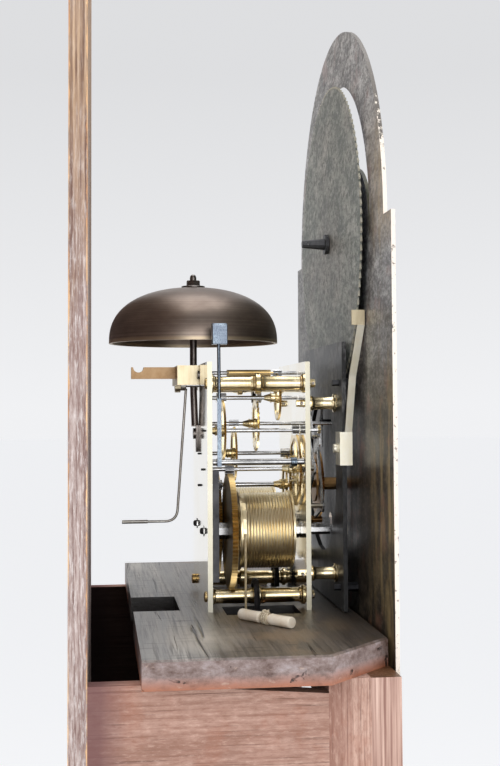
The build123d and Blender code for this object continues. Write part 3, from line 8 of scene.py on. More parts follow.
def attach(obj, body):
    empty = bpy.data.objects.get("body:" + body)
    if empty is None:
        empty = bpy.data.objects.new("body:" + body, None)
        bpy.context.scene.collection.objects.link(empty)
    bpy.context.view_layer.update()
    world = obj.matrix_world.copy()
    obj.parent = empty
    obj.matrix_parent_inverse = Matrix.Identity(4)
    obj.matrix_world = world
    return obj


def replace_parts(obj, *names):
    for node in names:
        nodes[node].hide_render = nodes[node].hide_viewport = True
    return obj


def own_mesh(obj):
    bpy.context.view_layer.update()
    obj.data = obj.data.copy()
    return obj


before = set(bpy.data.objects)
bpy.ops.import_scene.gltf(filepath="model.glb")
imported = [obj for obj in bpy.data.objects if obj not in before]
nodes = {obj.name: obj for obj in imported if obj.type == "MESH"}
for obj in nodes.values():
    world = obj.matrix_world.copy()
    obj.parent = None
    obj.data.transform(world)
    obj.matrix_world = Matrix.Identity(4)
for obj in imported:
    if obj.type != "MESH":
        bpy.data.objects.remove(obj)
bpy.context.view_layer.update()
scene = bpy.context.scene
scene.view_settings.view_transform = "Standard"

# Places are given in millimetres: x across, d back from the dial's back, h up from the seatboard's top
DIAL_BACK_Y, SEAT_TOP_Z = -76.0, 1500.0


def D(behind_dial):
    """y, in metres, of a point this many millimetres behind the dial's back."""
    return (behind_dial + DIAL_BACK_Y) / 1000


def H(above_seat):
    """z, in metres, of a point this many millimetres above the seatboard's top."""
    return (SEAT_TOP_Z + above_seat) / 1000


# Where each arbor stands, as (x, h)
SPOTS = {
    "centre": (0.0, 82.5), "third": (2.884, 105.439), "escape": (0.0, 127.3), "pallets": (0.0, 156.0),
    "pin": (-29.0, 95.4), "gathering": (-37.2, 123.008), "warning": (-31.0, 146.193),
    "fly": (-29.0, 163.956), "hammer": (-58.5, 101.6), "moon": (0.0, 261.0),
    "strike_great": (-30.0, 52.0), "strike_barrel": (-30.0, 52.0),
    "going_great": (30.0, 52.0), "going_barrel": (30.0, 52.0),
}
# The middle of the bell's rim, in metres
BELL = Vector((0.014, D(106.2), H(187)))

# Camera: at the clock's left side, a little behind the movement, looking slightly up.
# The focal length and the shifts are in pixels of a picture this wide.
PICTURE_WIDTH, FOCAL, SHIFT_X, SHIFT_Y = 500, 1238.05, -2.59, -36.67
SENSOR = 36.0
CAMERA_AT = Vector((-0.9107, 0.101, 1.64125))
YAW, PITCH, ROLL = 0.1243, 0.0471, -0.0055
ahead = Vector((cos(YAW) * cos(PITCH), -sin(YAW) * cos(PITCH), sin(PITCH)))
right = ahead.cross(Vector((0, 0, 1))).normalized()
up = right.cross(ahead)
right, up = cos(ROLL) * right + sin(ROLL) * up, cos(ROLL) * up - sin(ROLL) * right
camera_data = bpy.data.cameras.new("camera")
camera_data.sensor_fit = "HORIZONTAL"
camera_data.sensor_width = SENSOR
camera_data.lens = FOCAL / PICTURE_WIDTH * SENSOR
camera_data.shift_x = SHIFT_X / PICTURE_WIDTH
camera_data.shift_y = SHIFT_Y / PICTURE_WIDTH
camera_data.clip_start = 0.02
camera_data.clip_end = 60
camera = bpy.data.objects.new("camera", camera_data)
scene.collection.objects.link(camera)
camera.matrix_world = Matrix((
    (right.x, up.x, -ahead.x, CAMERA_AT.x),
    (right.y, up.y, -ahead.y, CAMERA_AT.y),
    (right.z, up.z, -ahead.z, CAMERA_AT.z),
    (0, 0, 0, 1),
))
scene.camera = camera


# Shader helpers

EVEN = (1, 1, 1)
NOWHERE = (0, 0, 0)


class Graph:
    """A node tree, with short calls for the nodes that the materials and the sky are made of."""

    def __init__(self, tree):
        self.tree = tree
        self.coord = tree.nodes.new("ShaderNodeTexCoord")

    def node(self, kind, **inputs):
        made = self.tree.nodes.new(kind)
        for key, value in inputs.items():
            self.set(made.inputs[key], value)
        return made

    def set(self, socket, value):
        if isinstance(value, bpy.types.NodeSocket):
            self.tree.links.new(value, socket)
        elif isinstance(value, (tuple, list)) and len(value) == 3 and socket.type == "RGBA":
            socket.default_value = (*value, 1)
        else:
            socket.default_value = value

    def place(self, stretch=EVEN, offset=NOWHERE, turn=NOWHERE):
        """Object coordinates, scaled and moved."""
        made = self.node("ShaderNodeMapping", Scale=stretch, Location=offset, Rotation=turn)
        self.set(made.inputs["Vector"], self.coord.outputs["Object"])
        return made.outputs["Vector"]

    def noise(self, stretch, scale, detail, rough, distort=0.0, offset=NOWHERE, turn=NOWHERE):
        made = self.node("ShaderNodeTexNoise", Scale=scale, Detail=detail, Roughness=rough)
        self.set(made.inputs["Distortion"], distort)
        self.set(made.inputs["Vector"], self.place(stretch, offset, turn))
        return made.outputs["Fac"]

    def math(self, operation, *values):
        made = self.tree.nodes.new("ShaderNodeMath")
        made.operation = operation
        for socket, value in zip(made.inputs, (*values, 0.0, 0.0)):
            self.set(socket, value)
        return made.outputs["Value"]

    def times(self, a, b):
        return self.math("MULTIPLY", a, b)

    def scaled(self, a, factor, extra):
        """a times factor, plus extra."""
        return self.math("MULTIPLY_ADD", a, factor, extra)

    def minus(self, a, b):
        return self.math("SUBTRACT", a, b)

    def size(self, a):
        return self.math("ABSOLUTE", a)

    def far(self, a, b):
        """The length of a vector of two parts."""
        return self.math("SQRT", self.math("ADD", self.times(a, a), self.times(b, b)))

    def ramp(self, factor, *stops):
        """Colours at positions along a factor: (position, (r, g, b)) or (position, grey)."""
        made = self.node("ShaderNodeValToRGB", Fac=factor)
        elements = made.color_ramp.elements
        while len(elements) < len(stops):
            elements.new(0.5)
        for element, (position, colour) in zip(elements, stops):
            element.position = position
            if not isinstance(colour, (tuple, list)):
                colour = (colour, colour, colour)
            element.color = (*colour, 1)
        return made.outputs["Color"]

    def mix(self, factor, a, b, blend="MIX"):
        made = self.tree.nodes.new("ShaderNodeMix")
        made.data_type = "RGBA"
        made.blend_type = blend
        self.set(made.inputs["Factor"], factor)
        self.set(made.inputs[6], a)
        self.set(made.inputs[7], b)
        return made.outputs[2]

    def layers(self, colour, *rows):
        """Lays colours over a first one. A row is a factor, the stops of its ramp if any, and a colour."""
        for factor, *stops, over in rows:
            amount = self.ramp(factor, *stops) if stops else factor
            colour = self.mix(amount, colour, over)
        return colour

    def parts(self, vector):
        return tuple(self.node("ShaderNodeSeparateXYZ", Vector=vector).outputs)

    def where(self, offset=NOWHERE):
        """The x, y and z of object coordinates, in metres."""
        return self.parts(self.place(offset=offset))

    def normal(self):
        return self.parts(self.coord.outputs["Normal"])


mats = {}


class Shade(Graph):
    """One Principled material, kept in mats under its name."""

    def __init__(self, name, metallic=0.0, specular=0.5):
        self.material = mats[name] = bpy.data.materials.new(name)
        self.material.use_nodes = True
        super().__init__(self.material.node_tree)
        self.shader = self.tree.nodes["Principled BSDF"]
        self.shader.inputs["Metallic"].default_value = metallic
        self.shader.inputs["Specular IOR Level"].default_value = specular
        self.bumps = None

    def bump(self, height, strength, distance):
        made = self.node("ShaderNodeBump", Strength=strength, Distance=distance, Height=height)
        if self.bumps is not None:
            self.set(made.inputs["Normal"], self.bumps)
        self.bumps = made.outputs["Normal"]

    def done(self, colour, roughness):
        self.set(self.shader.inputs["Base Color"], colour)
        self.set(self.shader.inputs["Roughness"], roughness)
        if self.bumps is not None:
            self.set(self.shader.inputs["Normal"], self.bumps)


def metal(name, light, dark, low_rough, high_rough, grain=EVEN, grain_scale=220, wear=0.25, bump=0.05):
    """Polished or aged metal: patches of tarnish, fine lines along one axis, small scratches."""
    s = Shade(name, metallic=1.0)
    patches = s.noise(EVEN, 26, 5, 0.6)
    lines = s.noise(grain, grain_scale, 3, 0.6)
    fine = s.noise(EVEN, 900, 2, 0.5)
    mixed = s.scaled(lines, wear, s.times(patches, 1 - wear))
    colour = s.layers(s.ramp(mixed, (0.36, dark), (0.62, light)), (fine, (0.62, 0), (0.75, 0.35), dark))
    s.bump(lines, bump, 0.0002)
    s.done(colour, s.scaled(mixed, high_rough - low_rough, low_rough))


def wood(name, dark, mid, light, along, rough, ring=18.0, pore=1.0, spec=0.5, painted_shade=False, bare=None):
    """Sawn and planed wood, with its grain along one axis (0, 1 or 2).
    A flag paints shade on the inside of the right board, near black, and darker towards the rear end.
    Bare gives other colours to the side faces above the throat moulding."""

    def drawn_out(share):
        """A stretch that draws a pattern out along the grain."""
        return tuple(share if axis == along else 1.0 for axis in range(3))

    s = Shade(name, specular=spec)
    figure = s.noise(drawn_out(0.06), ring, 5, 0.55, 1.4)
    fibres = s.noise(drawn_out(0.02), 380, 4, 0.65)
    pores = s.noise(drawn_out(0.02), 900, 2, 0.5, offset=(3.1, 1.7, 0.4))
    dirt = s.noise(EVEN, 9, 6, 0.65)
    speck = s.noise(drawn_out(0.25), 460, 5, 0.75)
    clouds = s.noise(EVEN, 26, 5, 0.7)
    colour = s.layers(
        s.ramp(figure, (0.3, dark), (0.52, mid), (0.74, light)),
        (fibres, (0.35, 0.55), (0.62, 0), dark),
        (pores, (0.3, 0.7 * pore), (0.42, 0), tuple(v * 0.35 for v in dark)),
        (dirt, (0.45, 0), (0.75, 0.45), tuple(v * 0.5 for v in dark)),
        (speck, (0.36, 0.65 * pore), (0.48, 0), dark),
        (speck, (0.52, 0), (0.66, 0.4 * pore), light),
        (clouds, (0.5, 0), (0.66, 0.4 * pore), (dark[0] * 1.2, dark[1] * 0.8, dark[2] * 0.6)),
    )
    if bare:
        nx, z = s.normal()[0], s.where()[2]
        sideways = s.ramp(s.size(nx), (0.5, 0), (0.7, 1))
        upper = s.times(sideways, s.ramp(s.minus(z, 1.38), (0, 0), (0.01, 1)))
        colour = s.mix(upper, colour, s.ramp(fibres, (0.38, bare[0]), (0.52, bare[1]), (0.66, bare[2])))
    if painted_shade:
        # Painted shade: near black on the inner faces of the right board, dark purple towards the rear end
        nx, (x, y, z) = s.normal()[0], s.where()
        right_board = s.ramp(x, (0.1, 0), (0.11, 0.93))
        inner = s.times(right_board, s.ramp(s.times(nx, -1), (0.5, 0), (0.7, 1)))
        rear_end = s.scaled(figure, 0.02, y)
        colour = s.layers(colour, (rear_end, (0.092, 0), (0.11, 0.85), (0.17, 0.085, 0.085)),
                          (inner, (0.006, 0.004, 0.004)))
    s.bump(fibres, 0.35, 0.0006)
    s.bump(pores, 0.35 * 0.6, 0.0003)
    s.done(colour, s.ramp(fibres, (0.3, min(rough + 0.2, 1.0)), (0.7, rough - 0.05)))


def simple(name, colour, dark, rough, scale, bump=0.2):
    """A painted or plain surface, mottled between two colours."""
    s = Shade(name, specular=0.4)
    grain = s.noise(EVEN, scale, 5, 0.6)
    s.bump(grain, bump, 0.0004)
    s.done(s.ramp(grain, (0.32, dark), (0.66, colour)), rough)


GOLD, DEEP_GOLD = (0.94, 0.83, 0.57), (0.68, 0.52, 0.25)
metal("brass_polished", GOLD, DEEP_GOLD, 0.13, 0.3)
metal("brass_plate_edge", (0.54, 0.52, 0.44), (0.44, 0.41, 0.31), 0.3, 0.45, wear=0.15)
metal("brass_plate_face", (0.99, 0.96, 0.88), (0.93, 0.86, 0.7), 0.05, 0.14, wear=0.15, bump=0.01)
metal("brass_ivory", (1.0, 0.97, 0.86), (0.92, 0.84, 0.62), 0.3, 0.5, wear=0.15)
metal("brass_cock", (0.74, 0.66, 0.48), (0.48, 0.39, 0.24), 0.34, 0.5, (1, 1, 0.1), 300, 0.4)
metal("brass_satin", (1.0, 0.9, 0.66), (0.8, 0.65, 0.38), 0.26, 0.38)
# A dark copy of the brass, for painted shade and painted dark reflections
metal("brass_shade", (0.3, 0.22, 0.12), (0.13, 0.09, 0.045), 0.35, 0.55)
metal("brass_dull", (0.36, 0.25, 0.15), (0.2, 0.12, 0.06), 0.3, 0.5)
metal("brass_aged", (0.7, 0.53, 0.26), (0.34, 0.22, 0.08), 0.24, 0.5)
metal("brass_turned", (0.97, 0.87, 0.62), (0.7, 0.54, 0.27), 0.17, 0.3, (1, 30, 1), 60, 0.4)
metal("brass_tan", (1.0, 0.9, 0.66), (0.8, 0.64, 0.38), 0.42, 0.6)
metal("motion_brass", (0.56, 0.33, 0.14), (0.17, 0.09, 0.035), 0.22, 0.48)
metal("steel_bright", (0.66, 0.66, 0.67), (0.22, 0.22, 0.22), 0.12, 0.32)
metal("steel_pale", (0.62, 0.6, 0.56), (0.3, 0.28, 0.25), 0.3, 0.5)
metal("steel_blued", (0.06, 0.09, 0.2), (0.03, 0.035, 0.06), 0.2, 0.4)
metal("steel_dark", (0.26, 0.235, 0.22), (0.07, 0.06, 0.055), 0.22, 0.45)
metal("iron_dark", (0.1, 0.1, 0.105), (0.025, 0.025, 0.028), 0.32, 0.6, bump=0.3)
metal("weight_lead", (0.28, 0.28, 0.285), (0.09, 0.09, 0.092), 0.42, 0.68, bump=0.3)

POLISHED_OAK = ((0.085, 0.035, 0.014), (0.19, 0.085, 0.034), (0.3, 0.145, 0.062))
RAW_OAK = ((0.28, 0.14, 0.105), (0.52, 0.325, 0.26), (0.72, 0.5, 0.41))
CHEEK_OAK = ((0.28, 0.145, 0.105), (0.53, 0.335, 0.27), (0.74, 0.52, 0.43))
wood("oak_polished_vertical", *POLISHED_OAK, 2, 0.32)
wood("oak_polished_across", *POLISHED_OAK, 0, 0.32)
wood("oak_cheek", *CHEEK_OAK, 1, 0.8, 26, pore=0.9, spec=0.15, painted_shade=True)
wood("oak_post", *RAW_OAK, 2, 0.8, 26, pore=0.9, spec=0.15)
wood("oak_front_frame", *POLISHED_OAK, 2, 0.32, bare=RAW_OAK)
wood("oak_side", *POLISHED_OAK, 2, 0.35, 16)

simple("turned_bone", (1.0, 0.93, 0.8), (0.88, 0.74, 0.56), 0.42, 120)
simple("gut_line", (0.72, 0.6, 0.38), (0.42, 0.31, 0.16), 0.5, 400)
simple("pivot_blackened", (0.03, 0.03, 0.032), (0.012, 0.012, 0.013), 0.45, 500)
simple("peg_string", (0.84, 0.76, 0.6), (0.46, 0.36, 0.22), 0.8, 700, 0.6)
simple("dial_ink", (0.02, 0.02, 0.022), (0.01, 0.01, 0.012), 0.5, 200)
simple("moon_gilt", (0.85, 0.66, 0.3), (0.66, 0.48, 0.18), 0.4, 60)
simple("corner_leaf", (0.16, 0.26, 0.15), (0.08, 0.15, 0.08), 0.45, 90)
simple("corner_flower", (0.62, 0.22, 0.17), (0.42, 0.12, 0.09), 0.45, 90)


def false_iron():
    """Blackened iron with paler upright smears."""
    s = Shade("iron_false_plate", metallic=0.4, specular=0.4)
    smear = s.noise((0.5, 1, 0.35), 130, 5, 0.7)
    fine = s.noise((0.5, 1, 0.4), 480, 3, 0.7)
    x, y, z = s.where()
    high = s.ramp(s.minus(z, 1.6), (0, 0), (0.06, 1))
    pale = s.mix(high, (0.045, 0.045, 0.046), (0.3, 0.3, 0.3))
    colour = s.layers((0.018, 0.018, 0.019), (smear, (0.42, 0), (0.62, 1), pale),
                      (fine, (0.38, 0.6), (0.54, 0), (0.01, 0.01, 0.011)))
    s.bump(fine, 0.2, 0.0003)
    s.done(colour, s.ramp(smear, (0.3, 0.35), (0.7, 0.5)))


def hammer_steel():
    """Pale blue-grey steel, finely speckled."""
    s = Shade("steel_hammer", metallic=1.0)
    speck = s.noise((1, 1, 0.5), 1500, 3, 0.7)
    cloud = s.noise(EVEN, 60, 3, 0.5)
    colour = s.layers(s.ramp(speck, (0.34, (0.055, 0.072, 0.098)), (0.6, (0.205, 0.245, 0.285))),
                      (cloud, (0.4, 0.35), (0.62, 0), (0.09, 0.1, 0.14)))
    s.bump(speck, 0.25, 0.0002)
    s.done(colour, s.ramp(cloud, (0.3, 0.34), (0.7, 0.22)))


def bell_metal():
    """Dark bronze with turned rings, and a thin bright lip."""
    s = Shade("bell_metal", metallic=1.0)
    x, y, z = s.where(-BELL)
    rings = s.noise((0.3, 0.3, 160), 9, 3, 0.7)
    patches = s.noise((1, 1, 2.5), 16, 5, 0.6)
    lip = s.ramp(s.times(z, 100), (0, 1), (0.16, 1), (0.3, 0))
    colour = s.layers(
        s.ramp(patches, (0.32, (0.165, 0.13, 0.11)), (0.55, (0.27, 0.22, 0.185)),
               (0.75, (0.4, 0.335, 0.28))),
        (rings, (0.42, 0.35), (0.6, 0), (0.075, 0.048, 0.036)),
        (s.times(lip, 0.6), (0.55, 0.44, 0.3)),
    )
    s.bump(rings, 0.12, 0.0003)
    s.done(colour, s.ramp(patches, (0.3, 0.44), (0.7, 0.33)))


def backboard_wood():
    """Old oak board: dry red-brown face, more golden towards its top, with chipped pale edges."""
    s = Shade("oak_backboard", specular=0.15)
    figure = s.noise((1, 1, 0.05), 30, 5, 0.6, 1.0)
    fibres = s.noise((1, 1, 0.018), 520, 4, 0.7)
    stains = s.noise((1, 1, 0.22), 34, 5, 0.65)
    flecks = s.noise((1, 1, 0.12), 620, 5, 0.75)
    x, y, z = s.where()
    nx, ny, nz = s.normal()
    upper = s.scaled(z, 3.0, s.scaled(stains, 1.2, -5.4))
    from_middle = s.size(s.minus(y, 0.1125))
    ragged = s.noise((1, 1, 0.35), 120, 5, 0.7)
    near_edge = s.minus(s.scaled(ragged, 0.0046, s.minus(from_middle, 0.002)), 0.005)
    patches = s.ramp(s.noise((1, 1, 0.25), 26, 3, 0.6), (0.34, 0), (0.46, 1))
    chipped = s.times(s.ramp(s.times(near_edge, 900), (0, 0), (0.5, 1)), patches)
    chipped = s.times(chipped, s.ramp(s.size(ny), (0.5, 1), (0.8, 0)))
    colour = s.layers(
        s.ramp(figure, (0.3, (0.27, 0.19, 0.175)), (0.52, (0.49, 0.385, 0.355)),
               (0.76, (0.74, 0.64, 0.6))),
        (fibres, (0.36, 0.85), (0.54, 0), (0.15, 0.08, 0.068)),
        (stains, (0.46, 0), (0.66, 0.65), (0.21, 0.115, 0.095)),
        (flecks, (0.5, 0), (0.64, 0.6), (0.86, 0.8, 0.78)),
        (flecks, (0.34, 0.7), (0.46, 0), (0.16, 0.085, 0.075)),
        (upper, (0.3, 0), (0.75, 0.75),
         s.ramp(fibres, (0.36, (0.13, 0.07, 0.045)), (0.62, (0.62, 0.42, 0.26)))),
        (chipped, s.ramp(fibres, (0.36, (0.5, 0.22, 0.1)), (0.62, (0.95, 0.66, 0.38)))),
    )
    s.bump(fibres, 0.6, 0.0008)
    s.bump(s.minus(1.0, chipped), 0.5, 0.0008)
    s.done(colour, 0.8)


def seat_wood():
    """Dark old board: grey-brown worn top with cracks along it, red-brown edges with pale chips. On the top,
    painted sheen towards the rear and in one spot, a painted warm reflection of the brass at the front, and
    painted shade by the dial; painted shade inside the slots.
    """
    s = Shade("oak_seatboard")
    nx, ny, nz = s.normal()
    x, y, z = s.where()
    figure = s.noise((0.1, 1, 1), 26, 5, 0.6, 1.2)
    fibres = s.noise((0.03, 1, 1), 420, 4, 0.7)
    cracks = s.noise((0.05, 1, 1), 110, 3, 0.6, 0.6, offset=(0.3, 0.7, 0.1))
    scratch = s.noise((1, 0.12, 1), 210, 3, 0.7, turn=(0, 0, 0.5))
    warm = s.noise((0.6, 1, 1), 30, 4, 0.65)
    # Painted reflection: warm patches of reflected brass towards the front of the top
    front_part = s.ramp(y, (-0.04, 1), (0.03, 0))
    warm_reflection = s.times(s.ramp(warm, (0.46, 0), (0.62, 0.75)), front_part)
    # Painted sheen: a lighter spot round one point of the top
    sheen_dx = s.math("ADD", x, 0.15)
    sheen_dy = s.minus(y, 0.038)
    sheen_reach = s.math("SQRT", s.math("ADD", s.times(sheen_dx, sheen_dx), s.times(s.times(sheen_dy, sheen_dy), 3.0)))
    sheen_falloff = s.ramp(sheen_reach, (0.01, 0.85), (0.055, 0))
    painted_sheen_spot = s.times(sheen_falloff, s.ramp(warm, (0.36, 0.5), (0.55, 1)))
    top = s.layers(
        s.ramp(figure, (0.3, (0.05, 0.037, 0.028)), (0.52, (0.105, 0.082, 0.062)),
               (0.76, (0.19, 0.155, 0.125))),
        # Painted sheen: lighter and greyer towards the rear of the top
        (s.scaled(y, 8, s.times(figure, 0.5)), (0.33, 0), (0.75, 1),
         s.ramp(figure, (0.34, (0.11, 0.1, 0.092)), (0.6, (0.4, 0.375, 0.34)))),
        (fibres, (0.36, 0.8), (0.54, 0), (0.035, 0.026, 0.021)),
        (scratch, (0.34, 0.8), (0.42, 0), (0.03, 0.024, 0.02)),
        (warm_reflection, (0.24, 0.165, 0.1)),
        # Painted sheen spot
        (painted_sheen_spot, (0.5, 0.44, 0.36)),
        # Painted shade: darker towards the front, by the dial
        (s.scaled(y, -10, s.times(warm, 0.3)), (0.4, 0), (0.8, 0.75), (0.028, 0.022, 0.018)),
    )
    blotch = s.noise((1, 1, 1.6), 75, 6, 0.75)
    lower = s.ramp(s.scaled(z, -70, s.scaled(blotch, 0.9, 103.9)), (0, 0), (0.55, 1))
    # Painted shade: near black on the side faces inside the slots
    slot = s.ramp(s.size(x), (0.085, 1), (0.095, 0))
    chips = s.ramp(s.noise((0.5, 0.5, 1), 240, 4, 0.7), (0.62, 0), (0.72, 0.6))
    side = s.layers(
        s.ramp(blotch, (0.34, (0.1, 0.052, 0.04)), (0.5, (0.23, 0.165, 0.15)),
               (0.66, (0.37, 0.31, 0.31))),
        (s.times(lower, 0.9), (0.38, 0.125, 0.055)),
        (slot, (0.01, 0.007, 0.006)),
        (s.times(chips, s.minus(1.0, slot)), (0.5, 0.37, 0.3)),
    )
    level = s.ramp(s.size(nz), (0.55, 0), (0.8, 1))
    colour = s.layers(side, (level, top), (cracks, (0.3, 0.9), (0.36, 0), (0.012, 0.008, 0.007)))
    s.bump(fibres, 0.5, 0.0006)
    s.bump(s.ramp(cracks, (0.3, 0), (0.36, 1)), 0.8, 0.0012)
    s.done(colour, s.ramp(figure, (0.3, 0.26), (0.7, 0.46)))


def dial_paint():
    """Painted front, pale chipped edge, and a bare dark iron back with a painted golden reflection in
    places.
    """
    s = Shade("dial_sheet", specular=0.2)
    nx, ny, nz = s.normal()
    x, y, z = s.where()
    streaks = s.noise((1, 1, 0.18), 70, 5, 0.65)
    blotch = s.noise((0.32, 1, 0.62), 120, 5, 0.72)
    fine = s.noise((0.45, 1, 0.8), 420, 5, 0.75)
    cloud = s.noise((1, 1, 0.5), 16, 5, 0.6)
    rust = s.noise((0.5, 1, 0.5), 70, 4, 0.6)
    low = s.ramp(blotch, (0.32, (0.016, 0.012, 0.01)), (0.54, (0.05, 0.039, 0.029)),
                 (0.76, (0.125, 0.1, 0.066)))
    high = s.ramp(blotch, (0.34, (0.1, 0.098, 0.095)), (0.5, (0.3, 0.3, 0.295)), (0.66, (0.6, 0.6, 0.59)))
    rise = s.ramp(s.scaled(cloud, 0.12, s.minus(z, 1.69)), (0, 0), (0.14, 1))
    # Painted reflection: golden streaks, also made more metallic, on the left leg of the back, low down and
    # round its middle
    left_leg = s.ramp(s.scaled(x, -10, -1.0), (0, 0), (0.75, 1))
    lowness = s.ramp(s.minus(z, 1.6), (0, 1), (0.12, 0))
    leg_middle = s.ramp(s.size(s.minus(z, 1.775)), (0.025, 1), (0.05, 0))
    golden = s.times(s.ramp(streaks, (0.46, 0), (0.6, 1)), left_leg)
    golden = s.times(golden, s.math("MAXIMUM", lowness, s.times(leg_middle, 0.7)))
    brown = s.times(s.ramp(s.size(s.minus(z, 1.79)), (0.03, 1), (0.055, 0)), left_leg)
    back = s.layers(
        s.mix(rise, low, high),
        (fine, (0.4, 0.8), (0.52, 0), s.mix(rise, (0.014, 0.011, 0.009), (0.09, 0.082, 0.078))),
        (fine, (0.53, 0), (0.64, 0.6), s.mix(rise, (0.16, 0.13, 0.1), (0.7, 0.7, 0.68))),
        (rust, (0.56, 0), (0.68, 0.5), s.mix(rise, (0.22, 0.09, 0.06), (0.42, 0.3, 0.28))),
        (s.times(golden, 0.75), (0.62, 0.46, 0.22)),
        (s.times(brown, s.ramp(fine, (0.4, 0.25), (0.56, 0.9))), (0.33, 0.23, 0.11)),
    )
    front = s.ramp(s.noise(EVEN, 22, 4, 0.6), (0.35, (0.8, 0.76, 0.66)), (0.6, (0.88, 0.86, 0.79)))
    arch_x, arch_y, arch_z = s.where((0, 0, -H(259)))
    above_arch = s.math("MAXIMUM", s.minus(z, 1.8), -0.008)
    worn = s.scaled(above_arch, 5.0, s.noise((1, 1, 0.8), 330, 4, 0.75))
    opening = s.ramp(s.far(arch_x, arch_z), (0.1188, 1), (0.1192, 0))
    edge = s.layers(
        (0.16, 0.145, 0.13),
        (worn, (0.55, 1), (0.61, 0), s.ramp(cloud, (0.4, (0.93, 0.86, 0.74)), (0.6, (0.9, 0.78, 0.7)))),
        (s.times(opening, s.ramp(s.minus(z, 1.7), (0, 0), (0.02, 1))),
         s.ramp(blotch, (0.4, (0.03, 0.032, 0.02)), (0.6, (0.11, 0.1, 0.062)))),
    )
    facing = s.scaled(ny, 0.5, 0.5)
    is_back = s.ramp(facing, (0.72, 0), (0.8, 1))
    is_front = s.ramp(facing, (0.2, 1), (0.28, 0))
    s.set(s.shader.inputs["Metallic"], s.times(is_back, s.scaled(golden, 0.5, 0.25)))
    s.bump(fine, 0.2, 0.0003)
    rough = s.mix(is_back, (0.4, 0.4, 0.4), s.ramp(streaks, (0.3, 0.3), (0.7, 0.46)))
    s.done(s.layers(edge, (is_front, front), (is_back, back)), rough)


def moon_paint():
    """Night sky in front; grey-green metal with upright streaks behind, pale along the teeth."""
    s = Shade("moon_sheet", specular=0.25)
    nx, ny, nz = s.normal()
    x, y, z = s.where((0, 0, -H(SPOTS["moon"][1])))
    streaks = s.noise((0.32, 1, 0.5), 110, 6, 0.72)
    fine = s.noise((0.45, 1, 0.7), 420, 5, 0.75)
    cloud = s.noise((0.5, 1, 0.5), 22, 5, 0.6)
    near_teeth = s.times(s.minus(s.far(x, z), 0.1142), 1000)
    back = s.layers(
        s.ramp(streaks, (0.34, (0.115, 0.135, 0.118)), (0.5, (0.28, 0.3, 0.27)),
               (0.66, (0.54, 0.55, 0.515))),
        (cloud, (0.5, 0), (0.7, 0.5), (0.34, 0.3, 0.285)),
        (fine, (0.4, 0.75), (0.52, 0), (0.1, 0.115, 0.1)),
        (fine, (0.54, 0), (0.66, 0.5), (0.62, 0.64, 0.6)),
        (near_teeth, (0, 0), (0.8, 1), (0.44, 0.42, 0.34)),
    )
    sky = s.ramp(s.noise(EVEN, 12, 3, 0.5), (0.35, (0.01, 0.022, 0.07)), (0.7, (0.022, 0.045, 0.12)))
    is_back = s.ramp(s.scaled(ny, 0.5, 0.5), (0.3, 0), (0.4, 1))
    s.set(s.shader.inputs["Metallic"], s.times(is_back, 0.3))
    s.bump(fine, 0.25, 0.0003)
    s.done(s.mix(is_back, sky, back), s.ramp(streaks, (0.3, 0.42), (0.7, 0.58)))


false_iron()
hammer_steel()
bell_metal()
backboard_wood()
seat_wood()
dial_paint()
moon_paint()


# Each material's CAD nodes, with the width in millimetres of the worn arris that they get, if any
NODE_LOOKS = (
    ("oak_backboard", 0.8, "backboard"),
    ("oak_side", 1.0, "trunk_sides base_sides"),
    ("oak_cheek", 1.0, "cheeks"),
    ("oak_post", 1.0, "corner_posts"),
    ("oak_front_frame", 1.0, "front_frame"),
    ("oak_polished_vertical", 1.0, "trunk_door"),
    ("oak_polished_across", 0.6, "throat_moulding waist_moulding"),
    ("oak_polished_across", 1.0, "base_front"),
    ("oak_polished_across", 1.5, "plinth"),
    ("oak_seatboard", 1.4, "seatboard"),
    ("iron_dark", 0, "seat_hooks hammer_spring moon_stud"),
    ("iron_false_plate", 0.4, "false_plate"),
    ("turned_bone", 0, "line_pegs"),
    ("gut_line", 0, "going_line strike_line"),
    ("bell_metal", 0, "bell"),
    ("brass_plate_face", 0.3, "back_plate front_plate"),
    ("brass_turned", 0, "plate_pillars dial_pillars"),
    ("brass_dull", 0.4, "back_cock"),
    ("brass_ivory", 0.2, "moon_jumper"),
    ("brass_tan", 0, "going_great_wheel strike_great_wheel"),
    ("brass_satin", 0, "going_barrel strike_barrel"),
    ("brass_polished", 0, "centre_wheel third_wheel escape_wheel pin_wheel gathering_wheel warning_wheel"),
    ("brass_aged", 0, "door_hinges door_lock fly going_pulley strike_pulley"),
    ("motion_brass", 0, "cannon_wheel minute_wheel hour_wheel"),
    ("steel_bright", 0, "pallets rack rack_hook lifting_piece moon_lever"),
    ("steel_blued", 0.2, "minute_hand hour_hand"),
    ("steel_blued", 0, "seconds_hand"),
    ("steel_dark", 0, "plate_pins bell_stand crutch"),
    ("steel_hammer", 0, "hammer"),
    ("dial_sheet", 0.4, "dial"),
    ("moon_sheet", 0, "moon_disc"),
    ("weight_lead", 0, "going_weight strike_weight"),
)


def dress(node, key, arris):
    node.data.materials.clear()
    node.data.materials.append(mats[key])
    node.data.shade_smooth()
    node.data.set_sharp_from_angle(angle=radians(32))
    if arris:
        worn = node.modifiers.new("worn_arris", "BEVEL")
        worn.width = arris / 1000
        worn.segments = 2
        worn.limit_method = "ANGLE"
        worn.angle_limit = radians(40)


for key, arris, names in NODE_LOOKS:
    for name in names.split():
        dress(nodes[name], key, arris)


def second_look(name, key, chosen):
    """Gives a further material to a node's faces where chosen(x, d, h, normal) is true of their centres."""
    mesh = nodes[name].data
    mesh.materials.append(mats[key])
    for face in mesh.polygons:
        x, y, z = face.center * 1000
        if chosen(x, y - DIAL_BACK_Y, z - SEAT_TOP_Z, face.normal):
            face.material_index = len(mesh.materials) - 1


def spot_of(name):
    """Where a wheel's or barrel's arbor stands."""
    return SPOTS[name.removesuffix("_wheel")]


